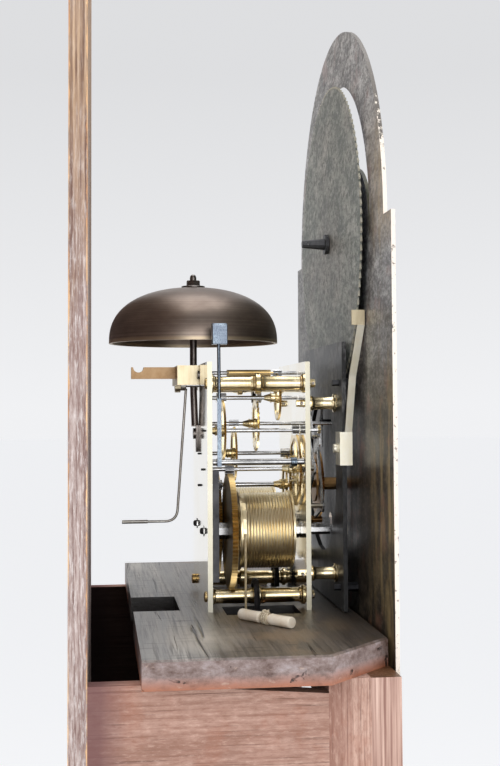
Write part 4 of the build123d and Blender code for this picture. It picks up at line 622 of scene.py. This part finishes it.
def steel_pinion(name, front, rear, pinion_radius, arbor_radius):
    x0, h0 = spot_of(name)

    def steel(x, d, h, normal):
        out = hypot(x - x0, h - h0)
        return out < arbor_radius or (front < d < rear and out < pinion_radius)

    second_look(name, "steel_bright", steel)


def steel_ends(name, front, rear):
    """The barrel's arbor, in front of the barrel and behind it."""
    x0, h0 = spot_of(name)

    def steel(x, d, h, normal):
        return hypot(x - x0, h - h0) < 6.6 and (d < front or d > rear)

    second_look(name, "steel_bright", steel)


def tooth_gaps(name, depth):
    """Paints shade into a wheel's teeth to this depth: a little on their flanks, with the aged brass, and
    most in the roots between them.
    """
    x0, h0 = spot_of(name)
    mesh = nodes[name].data
    tip = max(hypot(v.co.x * 1000 - x0, v.co.z * 1000 - SEAT_TOP_Z - h0) for v in mesh.vertices)

    def flank(x, d, h, normal):
        return tip - depth < hypot(x - x0, h - h0) < tip - 0.3 and abs(normal.y) < 0.3

    def root(x, d, h, normal):
        reach = hypot(x - x0, h - h0)
        outward = abs(normal.x * (x - x0) + normal.z * (h - h0)) / max(reach, 1)
        return tip - depth < reach < tip - 0.6 and outward > 0.75

    # Painted shade: aged brass on the flanks, the dark brass in the roots
    second_look(name, "brass_aged", flank)
    second_look(name, "brass_shade", root)


for row in (
        ("centre_wheel", 86.2, 92.4, 5.4, 2.2), ("third_wheel", 35.2, 42.6, 4.6, 1.7),
        ("escape_wheel", 73.8, 81.2, 3.6, 1.7), ("pin_wheel", 80.6, 87.4, 5.4, 1.8),
        ("gathering_wheel", 34.7, 40.0, 4.6, 1.7), ("warning_wheel", 86.2, 93.6, 4.2, 1.7),
        ("fly", 45.8, 52.6, 3.6, 1.6)):
    steel_pinion(*row)
second_look("back_plate", "brass_plate_edge", lambda x, d, h, n: 99.4 < d < 102.4)
second_look("front_plate", "brass_plate_edge", lambda x, d, h, n: 31.2 < d < 34.2)
second_look("dial", "iron_dark", lambda x, d, h, n: d > 0.4)
second_look("back_cock", "brass_cock", lambda x, d, h, n: d < 121.2)
# Painted dark reflection on the great wheels' flat faces, and painted shade in the teeth of these and the
# other wheels
for name in ("strike_great_wheel", "going_great_wheel"):
    second_look(name, "brass_shade", lambda x, d, h, n: abs(n.y) > 0.7)
    tooth_gaps(name, 6.0)
for name in ("centre_wheel", "third_wheel", "pin_wheel", "gathering_wheel", "warning_wheel"):
    tooth_gaps(name, 2.4)
# Painted shade: the top 14 mm of the moon jumper get the darker cock brass
jumper_top = max(v.co.z for v in nodes["moon_jumper"].data.vertices) * 1000 - SEAT_TOP_Z
second_look("moon_jumper", "brass_cock", lambda x, d, h, n: h > jumper_top - 14)
steel_ends("strike_barrel", 40.4, 81.8)
steel_ends("going_barrel", 43.8, 86.8)


# Piece helpers


def circle(steps):
    """Angles evenly round a full turn."""
    return [2 * pi * step / steps for step in range(steps)]


def mm(profile):
    """(along, radius) points in millimetres as metres."""
    return [(along / 1000, radius / 1000) for along, radius in profile]


class Form:
    """Vertices and faces gathered from several shapes, to make one piece of."""

    def __init__(self):
        self.vertices, self.faces = [], []

    def add(self, vertices, faces):
        start = len(self.vertices)
        self.vertices.extend(Vector(v) for v in vertices)
        self.faces.extend(tuple(start + index for index in face) for face in faces)
        return self

    def rings(self, rings, closed=False):
        """Skins equal rings of points, with flat ends unless the rings close on themselves."""
        steps = len(rings[0])
        vertices = [point for ring in rings for point in ring]
        faces = []
        count = len(rings)
        for index in range(count if closed else count - 1):
            following = (index + 1) % count
            for step in range(steps):
                after = (step + 1) % steps
                faces.append((index * steps + step, index * steps + after,
                              following * steps + after, following * steps + step))
        if not closed:
            faces.append(tuple(range(steps)))
            faces.append(tuple(range((count - 1) * steps, count * steps)))
        return self.add(vertices, faces)

    def turned(self, centre, axis, profile, steps, closed=False):
        """Revolves (distance along the axis, radius) points in metres about an axis through the centre."""
        way = Vector(axis).normalized()
        side = way.orthogonal().normalized()
        other = way.cross(side)
        rings = []
        for along, radius in profile:
            spot = Vector(centre) + way * along
            radius = max(radius, 1e-6)
            rings.append([spot + (side * cos(t) + other * sin(t)) * radius for t in circle(steps)])
        return self.rings(rings, closed)

    def lathe(self, x, h, profile, steps, closed=False):
        """Revolves (d, radius) points in millimetres about an axis along Y."""
        return self.turned((x / 1000, D(0), H(h)), (0, 1, 0), mm(profile), steps, closed)

    def upright(self, profile, steps, closed=False):
        """Revolves (height above the bell's rim, radius) points in millimetres about the bell's axis."""
        return self.turned(BELL, (0, 0, 1), mm(profile), steps, closed)

    def tube(self, points, radius, sides, closed=False):
        """A round tube through points, with its frame carried along."""
        points = [Vector(p) for p in points]
        count = len(points)
        rings, side = [], None
        for index, point in enumerate(points):
            before = points[(index - 1) % count if closed else max(index - 1, 0)]
            after = points[(index + 1) % count if closed else min(index + 1, count - 1)]
            way = (after - before).normalized()
            if side is None:
                side = way.orthogonal().normalized()
            side = (side - way * side.dot(way)).normalized()
            other = way.cross(side)
            rings.append([point + (side * cos(t) + other * sin(t)) * radius for t in circle(sides)])
        return self.rings(rings, closed)

    def prism(self, outline, start, end):
        """A flat outline of (x, h) points, from d start to d end."""
        count = len(outline)
        vertices = [(x / 1000, D(d), H(h)) for d in (start, end) for x, h in outline]
        faces = [tuple(range(count)), tuple(range(count, 2 * count))]
        for index in range(count):
            after = (index + 1) % count
            faces.append((index, after, count + after, count + index))
        return self.add(vertices, faces)

    def make(self, name, material, smooth=32, body="case"):
        """A piece of this material that rides on a body, its edges sharp past a number of degrees."""
        mesh = bpy.data.meshes.new(name)
        mesh.from_pydata([tuple(v) for v in self.vertices], [], self.faces)
        mesh.validate()
        mesh.update()
        work = bmesh.new()
        work.from_mesh(mesh)
        bmesh.ops.recalc_face_normals(work, faces=work.faces)
        work.to_mesh(mesh)
        work.free()
        if smooth:
            mesh.shade_smooth()
            mesh.set_sharp_from_angle(angle=radians(smooth))
        mesh.materials.append(mats[material])
        made = bpy.data.objects.new(name, mesh)
        scene.collection.objects.link(made)
        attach(made, body)
        return made


# The bell, as a smooth turned shell with a flared rim, its outside and inside a wall apart
def bell_side(radius, height):
    """(rise, reach) points from the rim to the hole at the crown."""
    crown_hole = 2.6
    points = []
    for step in range(29):
        share = step / 28 * pi / 2
        reach = max(radius * cos(share) ** 0.92, crown_hole)
        points.append((height * sin(share) ** 0.8, reach))
    return points


outer, inner = bell_side(62.9, 42.0), bell_side(60.7, 39.8)
bell_shell = Form().upright(outer[::-1] + inner, 128, closed=True)
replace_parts(bell_shell.make("bell_shell", "bell_metal", 40), "bell")


# The barrels' grooves, one long thread on each, and their round flanges
LINE_FRONT = 74.9


def barrel(side, front, rear, turns):
    """The thread stops at LINE_FRONT, where the line leaves its last turn."""
    body = side + "_barrel"
    x, h = SPOTS[body]
    root_radius, crest_radius = 25.95, 26.75
    rows_each_turn = 6
    pitch = (LINE_FRONT - front) / turns
    rings = []
    for row in range(turns * rows_each_turn + 1):
        d = front + pitch * row / rows_each_turn
        runout = min(1.0, (LINE_FRONT - d) / pitch)
        ring = []
        for turn in circle(96):
            wave = (0.5 + 0.5 * cos(2 * pi * (d - front) / pitch - turn)) ** 0.6
            radius = (root_radius + (crest_radius - root_radius) * wave * runout) / 1000
            ring.append((x / 1000 + radius * cos(turn), D(d), H(h) + radius * sin(turn)))
        rings.append(ring)
    Form().rings(rings).make(body + "_grooves", "brass_satin", 60, body=body)
    for end, d in (("front", front - 1.7), ("rear", rear)):
        rim = ((-0.02, 26.0), (-0.02, 27.7), (0.3, 28.04), (1.4, 28.04), (1.72, 27.7), (1.72, 26.0))
        flange = Form().lathe(x, h, [(d + along, radius) for along, radius in rim], 96)
        flange.make(f"{body}_grooves_{end}_flange", "brass_satin", body=body)


barrel("strike", 42.25, 77.35, 16)
barrel("going", 45.65, 78.35, 14)


# Smooth arbors, and the brass collets that hold the wheels: (body, arbor's radius, wheel's rear face)
ARBORS = (
    ("hammer", 2.2, None), ("pin", 1.54, 37.2), ("gathering", 1.44, 90.4), ("warning", 1.44, 50.0),
    ("fly", 1.34, None), ("third", 1.44, 78.0), ("escape", 1.44, 62.0), ("centre", 1.74, 39.3),
    ("pallets", 1.64, None),
)
COLLET = ((0.0, 3.9), (1.0, 3.9), (1.4, 3.3), (3.6, 3.1), (4.05, 3.66), (4.4, 3.66), (4.8, 2.9))
for body, radius, face in ARBORS:
    front = 34.9
    rear = 116.5 if body == "pallets" else 98.7
    rod = [(front, radius - 0.2), (front + 0.3, radius), (rear - 0.3, radius), (rear, radius - 0.2)]
    Form().lathe(*SPOTS[body], rod, 24).make(body + "_arbor_rod", "steel_bright", body=body)
    if face:
        collet = [(face + along, reach) for along, reach in COLLET] + [(face + 9.0, radius + 0.25)]
        Form().lathe(*SPOTS[body], collet, 36).make(body + "_collet", "brass_polished", body=body)


# The arbors' pivots behind the back plate, and the barrel arbors' rounded ends
for body, radius, reach in (
        ("pin", 0.8, 104.4), ("gathering", 0.7, 104.2), ("third", 0.7, 104.2), ("centre", 0.9, 104.5),
        ("strike_barrel", 2.3, 105.4), ("going_barrel", 2.3, 105.4)):
    end = [(102.5, radius), (reach - radius * 0.5, radius), (reach - radius * 0.15, radius * 0.8),
           (reach, radius * 0.4)]
    Form().lathe(*SPOTS[body], end, 24).make(body + "_pivot_end", "pivot_blackened", body=body)


# Turned pillars between the plates, with their riveted ends, and the dial's pillars
PLATES_MIDDLE = 66.8
HALF_PILLAR = (
    (0.0, 7.3), (1.4, 7.3), (2.0, 6.9), (2.2, 5.7), (3.0, 5.4), (3.6, 5.75), (4.4, 5.5), (6.0, 5.05),
    (16.0, 5.15), (25.0, 4.88), (29.3, 4.88), (29.7, 5.2), (30.3, 5.5), (30.7, 5.4), (31.0, 6.2),
    (31.6, 6.75), (32.35, 6.7),
)
PILLAR = [(PLATES_MIDDLE - along, radius) for along, radius in HALF_PILLAR[::-1]]
PILLAR += [(PLATES_MIDDLE + along, radius) for along, radius in HALF_PILLAR]
DIAL_PILLAR = (
    (12.05, 6.0), (12.3, 6.45), (13.4, 6.45), (13.8, 5.0), (15.0, 4.35), (26.6, 4.3), (27.6, 4.6),
    (28.6, 5.4), (29.2, 5.0), (29.8, 5.75), (30.9, 5.7),
)
for number, (x, h) in enumerate(((-55, 156), (55, 156), (-46, 8.2), (46, 8.2)), 1):
    Form().lathe(x, h, PILLAR, 56).make(f"turned_pillar_{number}", "brass_turned")
    rise = 1.7 if x > 0 else 0.0
    end = [(102.7, 3.7), (103.3 + rise, 3.7), (103.7 + rise, 3.1), (103.9 + rise, 1.9)]
    Form().lathe(x, h, end, 32).make(f"pillar_rivet_{number}", "brass_aged")
for number, (x, h) in enumerate(((-55, 142), (55, 142), (-55, 24), (55, 24)), 1):
    Form().lathe(x, h, DIAL_PILLAR, 48).make(f"turned_dial_pillar_{number}", "brass_turned")


# Screws, with slotted heads that face the rear
def screw(name, x, h, d, radius, material="steel_dark"):
    form = Form()
    slot_angle = 0.14
    for side in (-1, 1):
        outline = []
        for step in range(17):
            turn = -pi / 2 + slot_angle + (pi - 2 * slot_angle) * step / 16
            outline.append((x + side * radius * cos(turn), h + radius * sin(turn)))
        form.prism(outline, d, d + 0.5 * radius)
    corners = ((-0.3, -0.95), (0.3, -0.95), (0.3, 0.95), (-0.3, 0.95))
    form.prism([(x + radius * across, h + radius * along) for across, along in corners], d, d + 0.3 * radius)
    form.make(name, material)


# Bell stand: a rod that leans in to the back plate, with a flat foot held by a screw
def bell_stand():
    x = 14.0

    def at(d, h):
        return (x / 1000, D(d), H(h))

    stand = Form()
    stand.tube((at(106.2, 221.0), at(106.2, 160.0)), 0.00266, 24)
    stand.tube((at(106.2, 160.4), at(106.1, 150.0), at(105.2, 126.0)), 0.0026, 24)
    lug = [at(d, h) for d, h in ((102.7, 126.6), (107.6, 126.6), (107.6, 125.2), (102.7, 125.2))]
    stand.rings([lug, [(p[0] + 0.004, p[1], p[2]) for p in lug]])
    foot = ((-3.4, 126), (3.4, 126), (3.0, 110), (1.6, 106.3), (-1.6, 106.3), (-3.0, 110))
    stand.prism([(x + side, h) for side, h in foot], 102.7, 104.6)
    stand.make("bell_stand_rod", "steel_dark")
    screw("bell_stand_screw", x, 120.0, 104.6, 4.0)
    collar = [(36.2, 4.8), (36.4, 5.0), (39.2, 5.0), (39.4, 4.8)]
    Form().upright(collar, 32).make("bell_stand_collar", "steel_dark")
    nut = Form()
    for low, high, radius in ((43.2, 43.6, 5.2), (43.6, 47.0, 5.6), (47.0, 47.4, 5.2)):
        nut.rings([[BELL + Vector((radius * cos(t), radius * sin(t), rise)) / 1000 for t in circle(6)]
                   for rise in (low, high)])
    nut.make("bell_nut", "steel_dark", 20)
    tip = [(46.6, 2.46), (49.6, 2.46), (51.2, 2.0), (52.0, 0.9)]
    Form().upright(tip, 32).make("bell_stand_tip", "steel_dark")
    washer = [(42.05, 8.6), (42.3, 8.8), (43.0, 8.8), (43.25, 8.4)]
    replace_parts(Form().upright(washer, 48).make("bell_washer", "steel_dark"), "bell_stand")


bell_stand()


# The crutch, bent from one steel rod: down from its boss to the knee, round the bend, and back to the foot
def crutch():
    top, knee, foot = (Vector((0, D(d), H(h))) for d, h in ((112.8, 153.4), (119.8, 56.5), (159.7, 56.5)))
    bend = 0.0086
    start = knee - (knee - top).normalized() * bend
    end = knee + (foot - knee).normalized() * bend
    points = [top, (top + start) / 2]
    for step in range(13):
        share = step / 12
        points.append(start * (1 - share) ** 2 + knee * 2 * share * (1 - share) + end * share ** 2)
    form = Form().tube(points + [foot], 0.00095, 16)
    form.tube([(0, D(d), H(56.5)) for d in (141.0, 159.7)], 0.00135, 12)
    boss = [(112.8, 1.7), (112.8, 3.9), (113.1, 4.2), (116.5, 4.2), (116.8, 3.9), (116.8, 1.7)]
    form.lathe(*SPOTS["pallets"], boss, 32, closed=True)
    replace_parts(form.make("crutch_rod", "steel_pale", body="pallets"), "crutch")


crutch()


# The hammer: foot and narrow arm, round shaft, head, and the tail that the wheel's pins lift
def hammer():
    arm = [(-66.0, 99.0), (-56.6, 99.0), (-56.6, 104.4), (-64.4, 104.4), (-64.4, 146.0), (-66.0, 146.0)]
    tail = [(-60.3, 100.6), (-39.9, 95.9), (-39.2, 98.1), (-59.4, 103.6)]
    form = Form().prism(arm, 93.2, 96.0)
    form.tube([(-0.0652, D(94.6), H(145.0)), (-0.0627, D(94.6), H(183.6))], 0.0012, 20)
    form.prism(tail, 40.1, 42.3)
    form.lathe(*SPOTS["hammer"], [(39.9, 2.8), (40.2, 3.1), (44.0, 3.1), (44.3, 2.7)], 32)
    form.make("hammer_arm", "steel_hammer", body="hammer")
    middle = -59.0
    outline = ((-63.8, 183.0), (-54.2, 183.0), (-54.0, 183.3), (-54.0, 195.4), (-56.1, 197.5),
               (-61.9, 197.5), (-64.0, 195.4), (-64.0, 183.3))
    rings = []
    for d, inset in ((88.5, 0.3), (88.9, 0.0), (98.6, 0.0), (99.0, 0.3)):
        rings.append([((x + (inset if x < middle else -inset)) / 1000, D(d), H(h)) for x, h in outline])
    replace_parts(Form().rings(rings).make("hammer_head", "steel_hammer", body="hammer"), "hammer")


hammer()

# Screws of the cock and the moon jumper
screw("cock_screw_left", -36.0, 162.5, 105.6, 3.0)
screw("cock_screw_right", 36.0, 162.5, 105.6, 3.0)
screw("jumper_screw", -73.0, 111.0, 15.4, 3.0, "brass_ivory")


# Turned bone pegs, with the lines' knots round their waists: (side, x, the way the peg points)
PEG_D, PEG_H = 69.4, 3.75
PEGS = (("strike", -112.5, (-38.3, -27.3, 0)), ("going", 58.9, (0.0, -1.0, 0)))
HALF_PEG = (
    (0, 2.72), (4.4, 2.72), (5.0, 3.2), (5.6, 3.66), (9.0, 3.5), (15.0, 3.45), (21.0, 3.62), (23.0, 3.66),
    (23.8, 3.4), (24.0, 2.6),
)
PEG = [(-along, radius) for along, radius in HALF_PEG[::-1]] + list(HALF_PEG[1:])
pegs = Form()
for side, x, way in PEGS:
    pegs.turned((x / 1000, D(PEG_D), H(PEG_H)), Vector(way).normalized(), mm(PEG), 36)
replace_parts(pegs.make("bone_pegs", "turned_bone"), "line_pegs")


def string_wrap(name, x, way):
    """Turns of the line round the peg, with a knot on top."""
    axis = Vector(way).normalized()
    side = Vector((axis.y, -axis.x, 0))
    centre = Vector((x / 1000, D(PEG_D), H(PEG_H)))
    turns, waist, reach = 3.2, 0.0034, 0.003
    points = []
    for step in range(61):
        turn = 2 * pi * turns * step / 60
        along = -reach + 2 * reach * step / 60
        points.append(centre + axis * along + side * waist * cos(turn) + Vector((0, 0, waist)) * sin(turn))
    form = Form().tube(points, 0.00062, 8)
    knot = []
    for turn in circle(40):
        out = 0.0015 + 0.0007 * cos(3 * turn)
        height = Vector((0, 0, 0.0042 + 0.0007 * sin(3 * turn)))
        knot.append(centre + axis * out * cos(2 * turn) + side * out * sin(2 * turn) + height)
    form.tube(knot, 0.0006, 8, closed=True)
    form.make(name, "peg_string")


for side, x, way in PEGS:
    string_wrap(side + "_peg_wrap", x, way)


# Gut lines: the strand from the barrel, the turn under the pulley, and the strand to the peg. All in metres.
FALL_Y, RISE_Y = D(76.0), D(PEG_D)
PULLEY_Z, LINE = 0.32, 0.0008


def strand(name, x, y, top):
    """An upright run of twisted gut from the pulley up to its top, with a mesh of its own."""
    twist, swelling, rows = 0.004, 0.1, 150
    rings = []
    for row in range(rows + 1):
        rise = (top - PULLEY_Z) * row / rows
        ring = []
        for turn in circle(10):
            reach = LINE * (1 - swelling * cos(2 * turn - 2 * pi * rise / twist))
            ring.append((x + reach * cos(turn), y + reach * sin(turn), PULLEY_Z + rise))
        rings.append(ring)
    made = Form().rings(rings).make(name, "gut_line", 60)
    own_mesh(made)
    return made


for side, fall_x, peg_x in (("strike", -0.0568, -0.1125), ("going", 0.0032, 0.0589)):
    fall = strand(side + "_line_fall", fall_x, FALL_Y, 1.552)
    rise = strand(side + "_line_rise", peg_x, RISE_Y, 1.5009)
    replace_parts(fall, side + "_line")
    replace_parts(rise, side + "_line")
    middle = Vector(((fall_x + peg_x) / 2, (FALL_Y + RISE_Y) / 2, PULLEY_Z))
    along = Vector((peg_x - fall_x, RISE_Y - FALL_Y, 0))
    turn_points = []
    for step in range(33):
        angle = pi * step / 32
        turn_points.append(middle - along * 0.5 * cos(angle) - Vector((0, 0, along.length / 2)) * sin(angle))
    under = Form().tube(turn_points, LINE, 10)
    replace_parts(under.make(side + "_line_turn", "gut_line", 60, side + "_weight"), side + "_line")


# Dial front, in paint this thick. Clock angles run clockwise from twelve.
FACE_D, PAINT = -2.6, 0.12


def around(centre, radius, angle):
    return (centre[0] + radius * sin(radians(angle)), centre[1] + radius * cos(radians(angle)))


def painted(form, outline, d=FACE_D):
    form.prism(outline, d, d - PAINT)


def ring_of(form, centre, radius, width, steps=120, start=0.0, end=360.0):
    for step in range(steps):
        a, b = start + (end - start) * step / steps, start + (end - start) * (step + 1) / steps
        painted(form, [around(centre, radius, a), around(centre, radius, b),
                       around(centre, radius + width, b), around(centre, radius + width, a)])


def stroke(form, start, end, width):
    """A painted bar from start to end."""
    dx, dh = end[0] - start[0], end[1] - start[1]
    length = hypot(dx, dh)
    ox, oh = -dh / length * width / 2, dx / length * width / 2
    painted(form, [(start[0] + ox, start[1] + oh), (end[0] + ox, end[1] + oh),
                   (end[0] - ox, end[1] - oh), (start[0] - ox, start[1] - oh)])


def ticks(form, centre, angles, low, high, width):
    """Strokes between two radii at these clock angles."""
    for angle in angles:
        stroke(form, around(centre, low, angle), around(centre, high, angle), width)


def roman(form, centre, text, angle, low, high):
    """One Roman numeral between two radii, its foot towards the centre."""
    widths = {"I": 6.0, "V": 12.5, "X": 13.0}
    gap, thick, thin = 1.2, 2.6, 1.0
    total = sum(widths[letter] for letter in text)
    offset = -total / 2
    out = (sin(radians(angle)), cos(radians(angle)))

    def at(side, radius):
        return (centre[0] + out[0] * radius + out[1] * side, centre[1] + out[1] * radius - out[0] * side)

    for letter in text:
        left, right = offset + gap, offset + widths[letter] - gap
        middle = (left + right) / 2
        if letter == "I":
            stroke(form, at(middle, low), at(middle, high), thick)
        elif letter == "V":
            stroke(form, at(left + 0.8, high), at(middle, low), thick)
            stroke(form, at(right - 0.5, high), at(middle, low), thin)
        else:
            stroke(form, at(left + 0.8, high), at(right - 0.8, low), thick)
            stroke(form, at(right - 0.5, high), at(left + 0.5, low), thin)
        offset += widths[letter]
    for radius in (low, high):
        stroke(form, at(-total / 2, radius), at(total / 2, radius), 0.8)


def numerals():
    """The chapter ring, the seconds' ring, the winding holes' rings and the moon's days."""
    ink = Form()
    middle, seconds, moon = SPOTS["centre"], SPOTS["escape"], SPOTS["moon"]
    for radius, width in ((148.0, 0.5), (141.5, 0.4), (104.0, 0.4)):
        ring_of(ink, middle, radius, width)
    for number, text in enumerate("XII I II III IIII V VI VII VIII IX X XI".split()):
        roman(ink, middle, text, number * 30, 108.0, 137.0)
    for minute in range(60):
        low, width = (142.0, 1.2) if minute % 5 == 0 else (143.0, 0.5)
        ticks(ink, middle, [minute * 6], low, 148.0, width)
    for radius in (22.0, 26.0):
        ring_of(ink, seconds, radius, 0.4, 72)
    for second in range(60):
        ticks(ink, seconds, [second * 6], 24.0 if second % 5 else 22.0, 26.0, 0.4)
    for side in ("strike_barrel", "going_barrel"):
        ring_of(ink, SPOTS[side], 7.6, 0.7, 48)
    ticks(ink, moon, [-87 + 174 * day / 29 for day in range(30)], 122.0, 126.0, 0.8)
    for radius in (120.5, 128.0):
        ring_of(ink, moon, radius, 0.5, 120, -90.0, 90.0)
    ink.make("dial_numerals", "dial_ink", 0)


numerals()


def petal(form, root, angle, length, width, d=FACE_D):
    """A pointed oval leaf or petal that starts at a point and leans at a clock angle."""
    x, h = root
    out, across = sin(radians(angle)), cos(radians(angle))
    outline = []
    for turn in circle(20):
        along, side = length * (0.5 - 0.5 * cos(turn)), width * sin(turn) * (0.6 + 0.4 * sin(turn / 2))
        outline.append((x + along * out + side * across, h + along * across - side * out))
    painted(form, outline, d)


# A leaf spray and a flower in each corner, and one each side of the arch
leaves, flowers = Form(), Form()
CORNERS = (((-160.0, -78.0), 45), ((-160.0, 232.0), 135), ((160.0, -78.0), 315), ((160.0, 232.0), 225))
for corner, inwards in CORNERS:
    for lean in (-58, -34, 34, 58):
        petal(leaves, corner, inwards + lean, 26.0, 4.0)
    for turn in range(6):
        petal(flowers, around(corner, 7, inwards), turn * 60, 8.0, 3.0, FACE_D - PAINT)
for x in (-66.0, 66.0):
    for turn in range(8):
        petal(flowers, (x, 272.0), turn * 45, 11.0, 3.2)
    for turn in (-100, -60, 60, 100):
        petal(leaves, (x, 272.0), turn, 24.0, 3.6, FACE_D + 0.01)
leaves.make("dial_leaves", "corner_leaf", 0)
flowers.make("dial_flowers", "corner_flower", 0)


# Two plain moons and small stars on the disc's front
MOON_REACH, CLEAR_OF_MOON = 70.0, 43
moons, stars = Form(), Form()
moon_middles = [around(SPOTS["moon"], MOON_REACH, angle) for angle in (0.0, 180.0)]
for cx, ch in moon_middles:
    rings = []
    for d, radius in ((4.42, 38.0), (4.3, 37.7), (4.22, 34.0), (4.18, 20.0), (4.16, 1.0)):
        rings.append([((cx + radius * cos(t)) / 1000, D(d), H(ch + radius * sin(t))) for t in circle(64)])
    moons.rings(rings)
for number in range(34):
    sx, sh = around(SPOTS["moon"], 18 + 90 * (number * 0.618 % 1.0), number * 137.5 % 360)
    if min(hypot(sx - cx, sh - ch) for cx, ch in moon_middles) > CLEAR_OF_MOON:
        outline = []
        for point in range(10):
            reach = 0.9 if point % 2 else 2.2
            outline.append((sx + reach * sin(pi * point / 5), sh + reach * cos(pi * point / 5)))
        stars.prism(outline, 4.38, 4.26)
moons.make("moon_discs_plain", "moon_gilt", 30, body="moon")
stars.make("moon_stars", "moon_gilt", 0, body="moon")


# World, lights and floor

world = bpy.data.worlds.new("studio")
scene.world = world
world.use_nodes = True
sky = Graph(world.node_tree)
x, y, z = sky.parts(sky.coord.outputs["Generated"])
sideways = sky.ramp(x, (0.0, (0.48, 0.485, 0.5)), (0.55, (0.73, 0.735, 0.75)))
near_floor = sky.ramp(z, (0.0, 1.2), (0.26, 1.0))
backdrop = world.node_tree.nodes["Background"]
sky.set(backdrop.inputs["Color"], sky.mix(1.0, sideways, near_floor, "MULTIPLY"))
backdrop.inputs["Strength"].default_value = 1.0


def area(name, at, toward, size, power):
    data = bpy.data.lights.new(name, "AREA")
    data.shape = "RECTANGLE"
    data.size, data.size_y = size
    data.energy = power
    made = bpy.data.objects.new(name, data)
    scene.collection.objects.link(made)
    made.location = at
    made.rotation_euler = (Vector(toward) - Vector(at)).to_track_quat("-Z", "Y").to_euler()


area("side_softbox", (-3.2, -0.35, 1.95), (0, 0, 1.6), (2.2, 1.8), 34)
area("rear_softbox", (-1.5, 2.3, 2.5), (0, 0, 1.6), (1.4, 1.4), 22)
area("top_softbox", (0.2, 0.1, 3.6), (0, 0, 1.6), (1.8, 1.8), 30)
area("front_fill", (-1.0, -3.0, 2.0), (0, 0, 1.4), (1.6, 2.0), 26)

FLOOR_REACH = 60
floor_mesh = bpy.data.meshes.new("floor")
corners = [(FLOOR_REACH * x, FLOOR_REACH * y, 0) for x, y in ((-1, -1), (1, -1), (1, 1), (-1, 1))]
floor_mesh.from_pydata(corners, [], [(0, 1, 2, 3)])
floor = bpy.data.objects.new("floor", floor_mesh)
scene.collection.objects.link(floor)
floor_shade = Shade("floor_pale", specular=0.05)
floor_shade.shader.inputs["Emission Color"].default_value = (0.8, 0.81, 0.83, 1)
floor_shade.shader.inputs["Emission Strength"].default_value = 0.475
floor_shade.done((0.84, 0.84, 0.84), 0.95)
floor_mesh.materials.append(floor_shade.material)
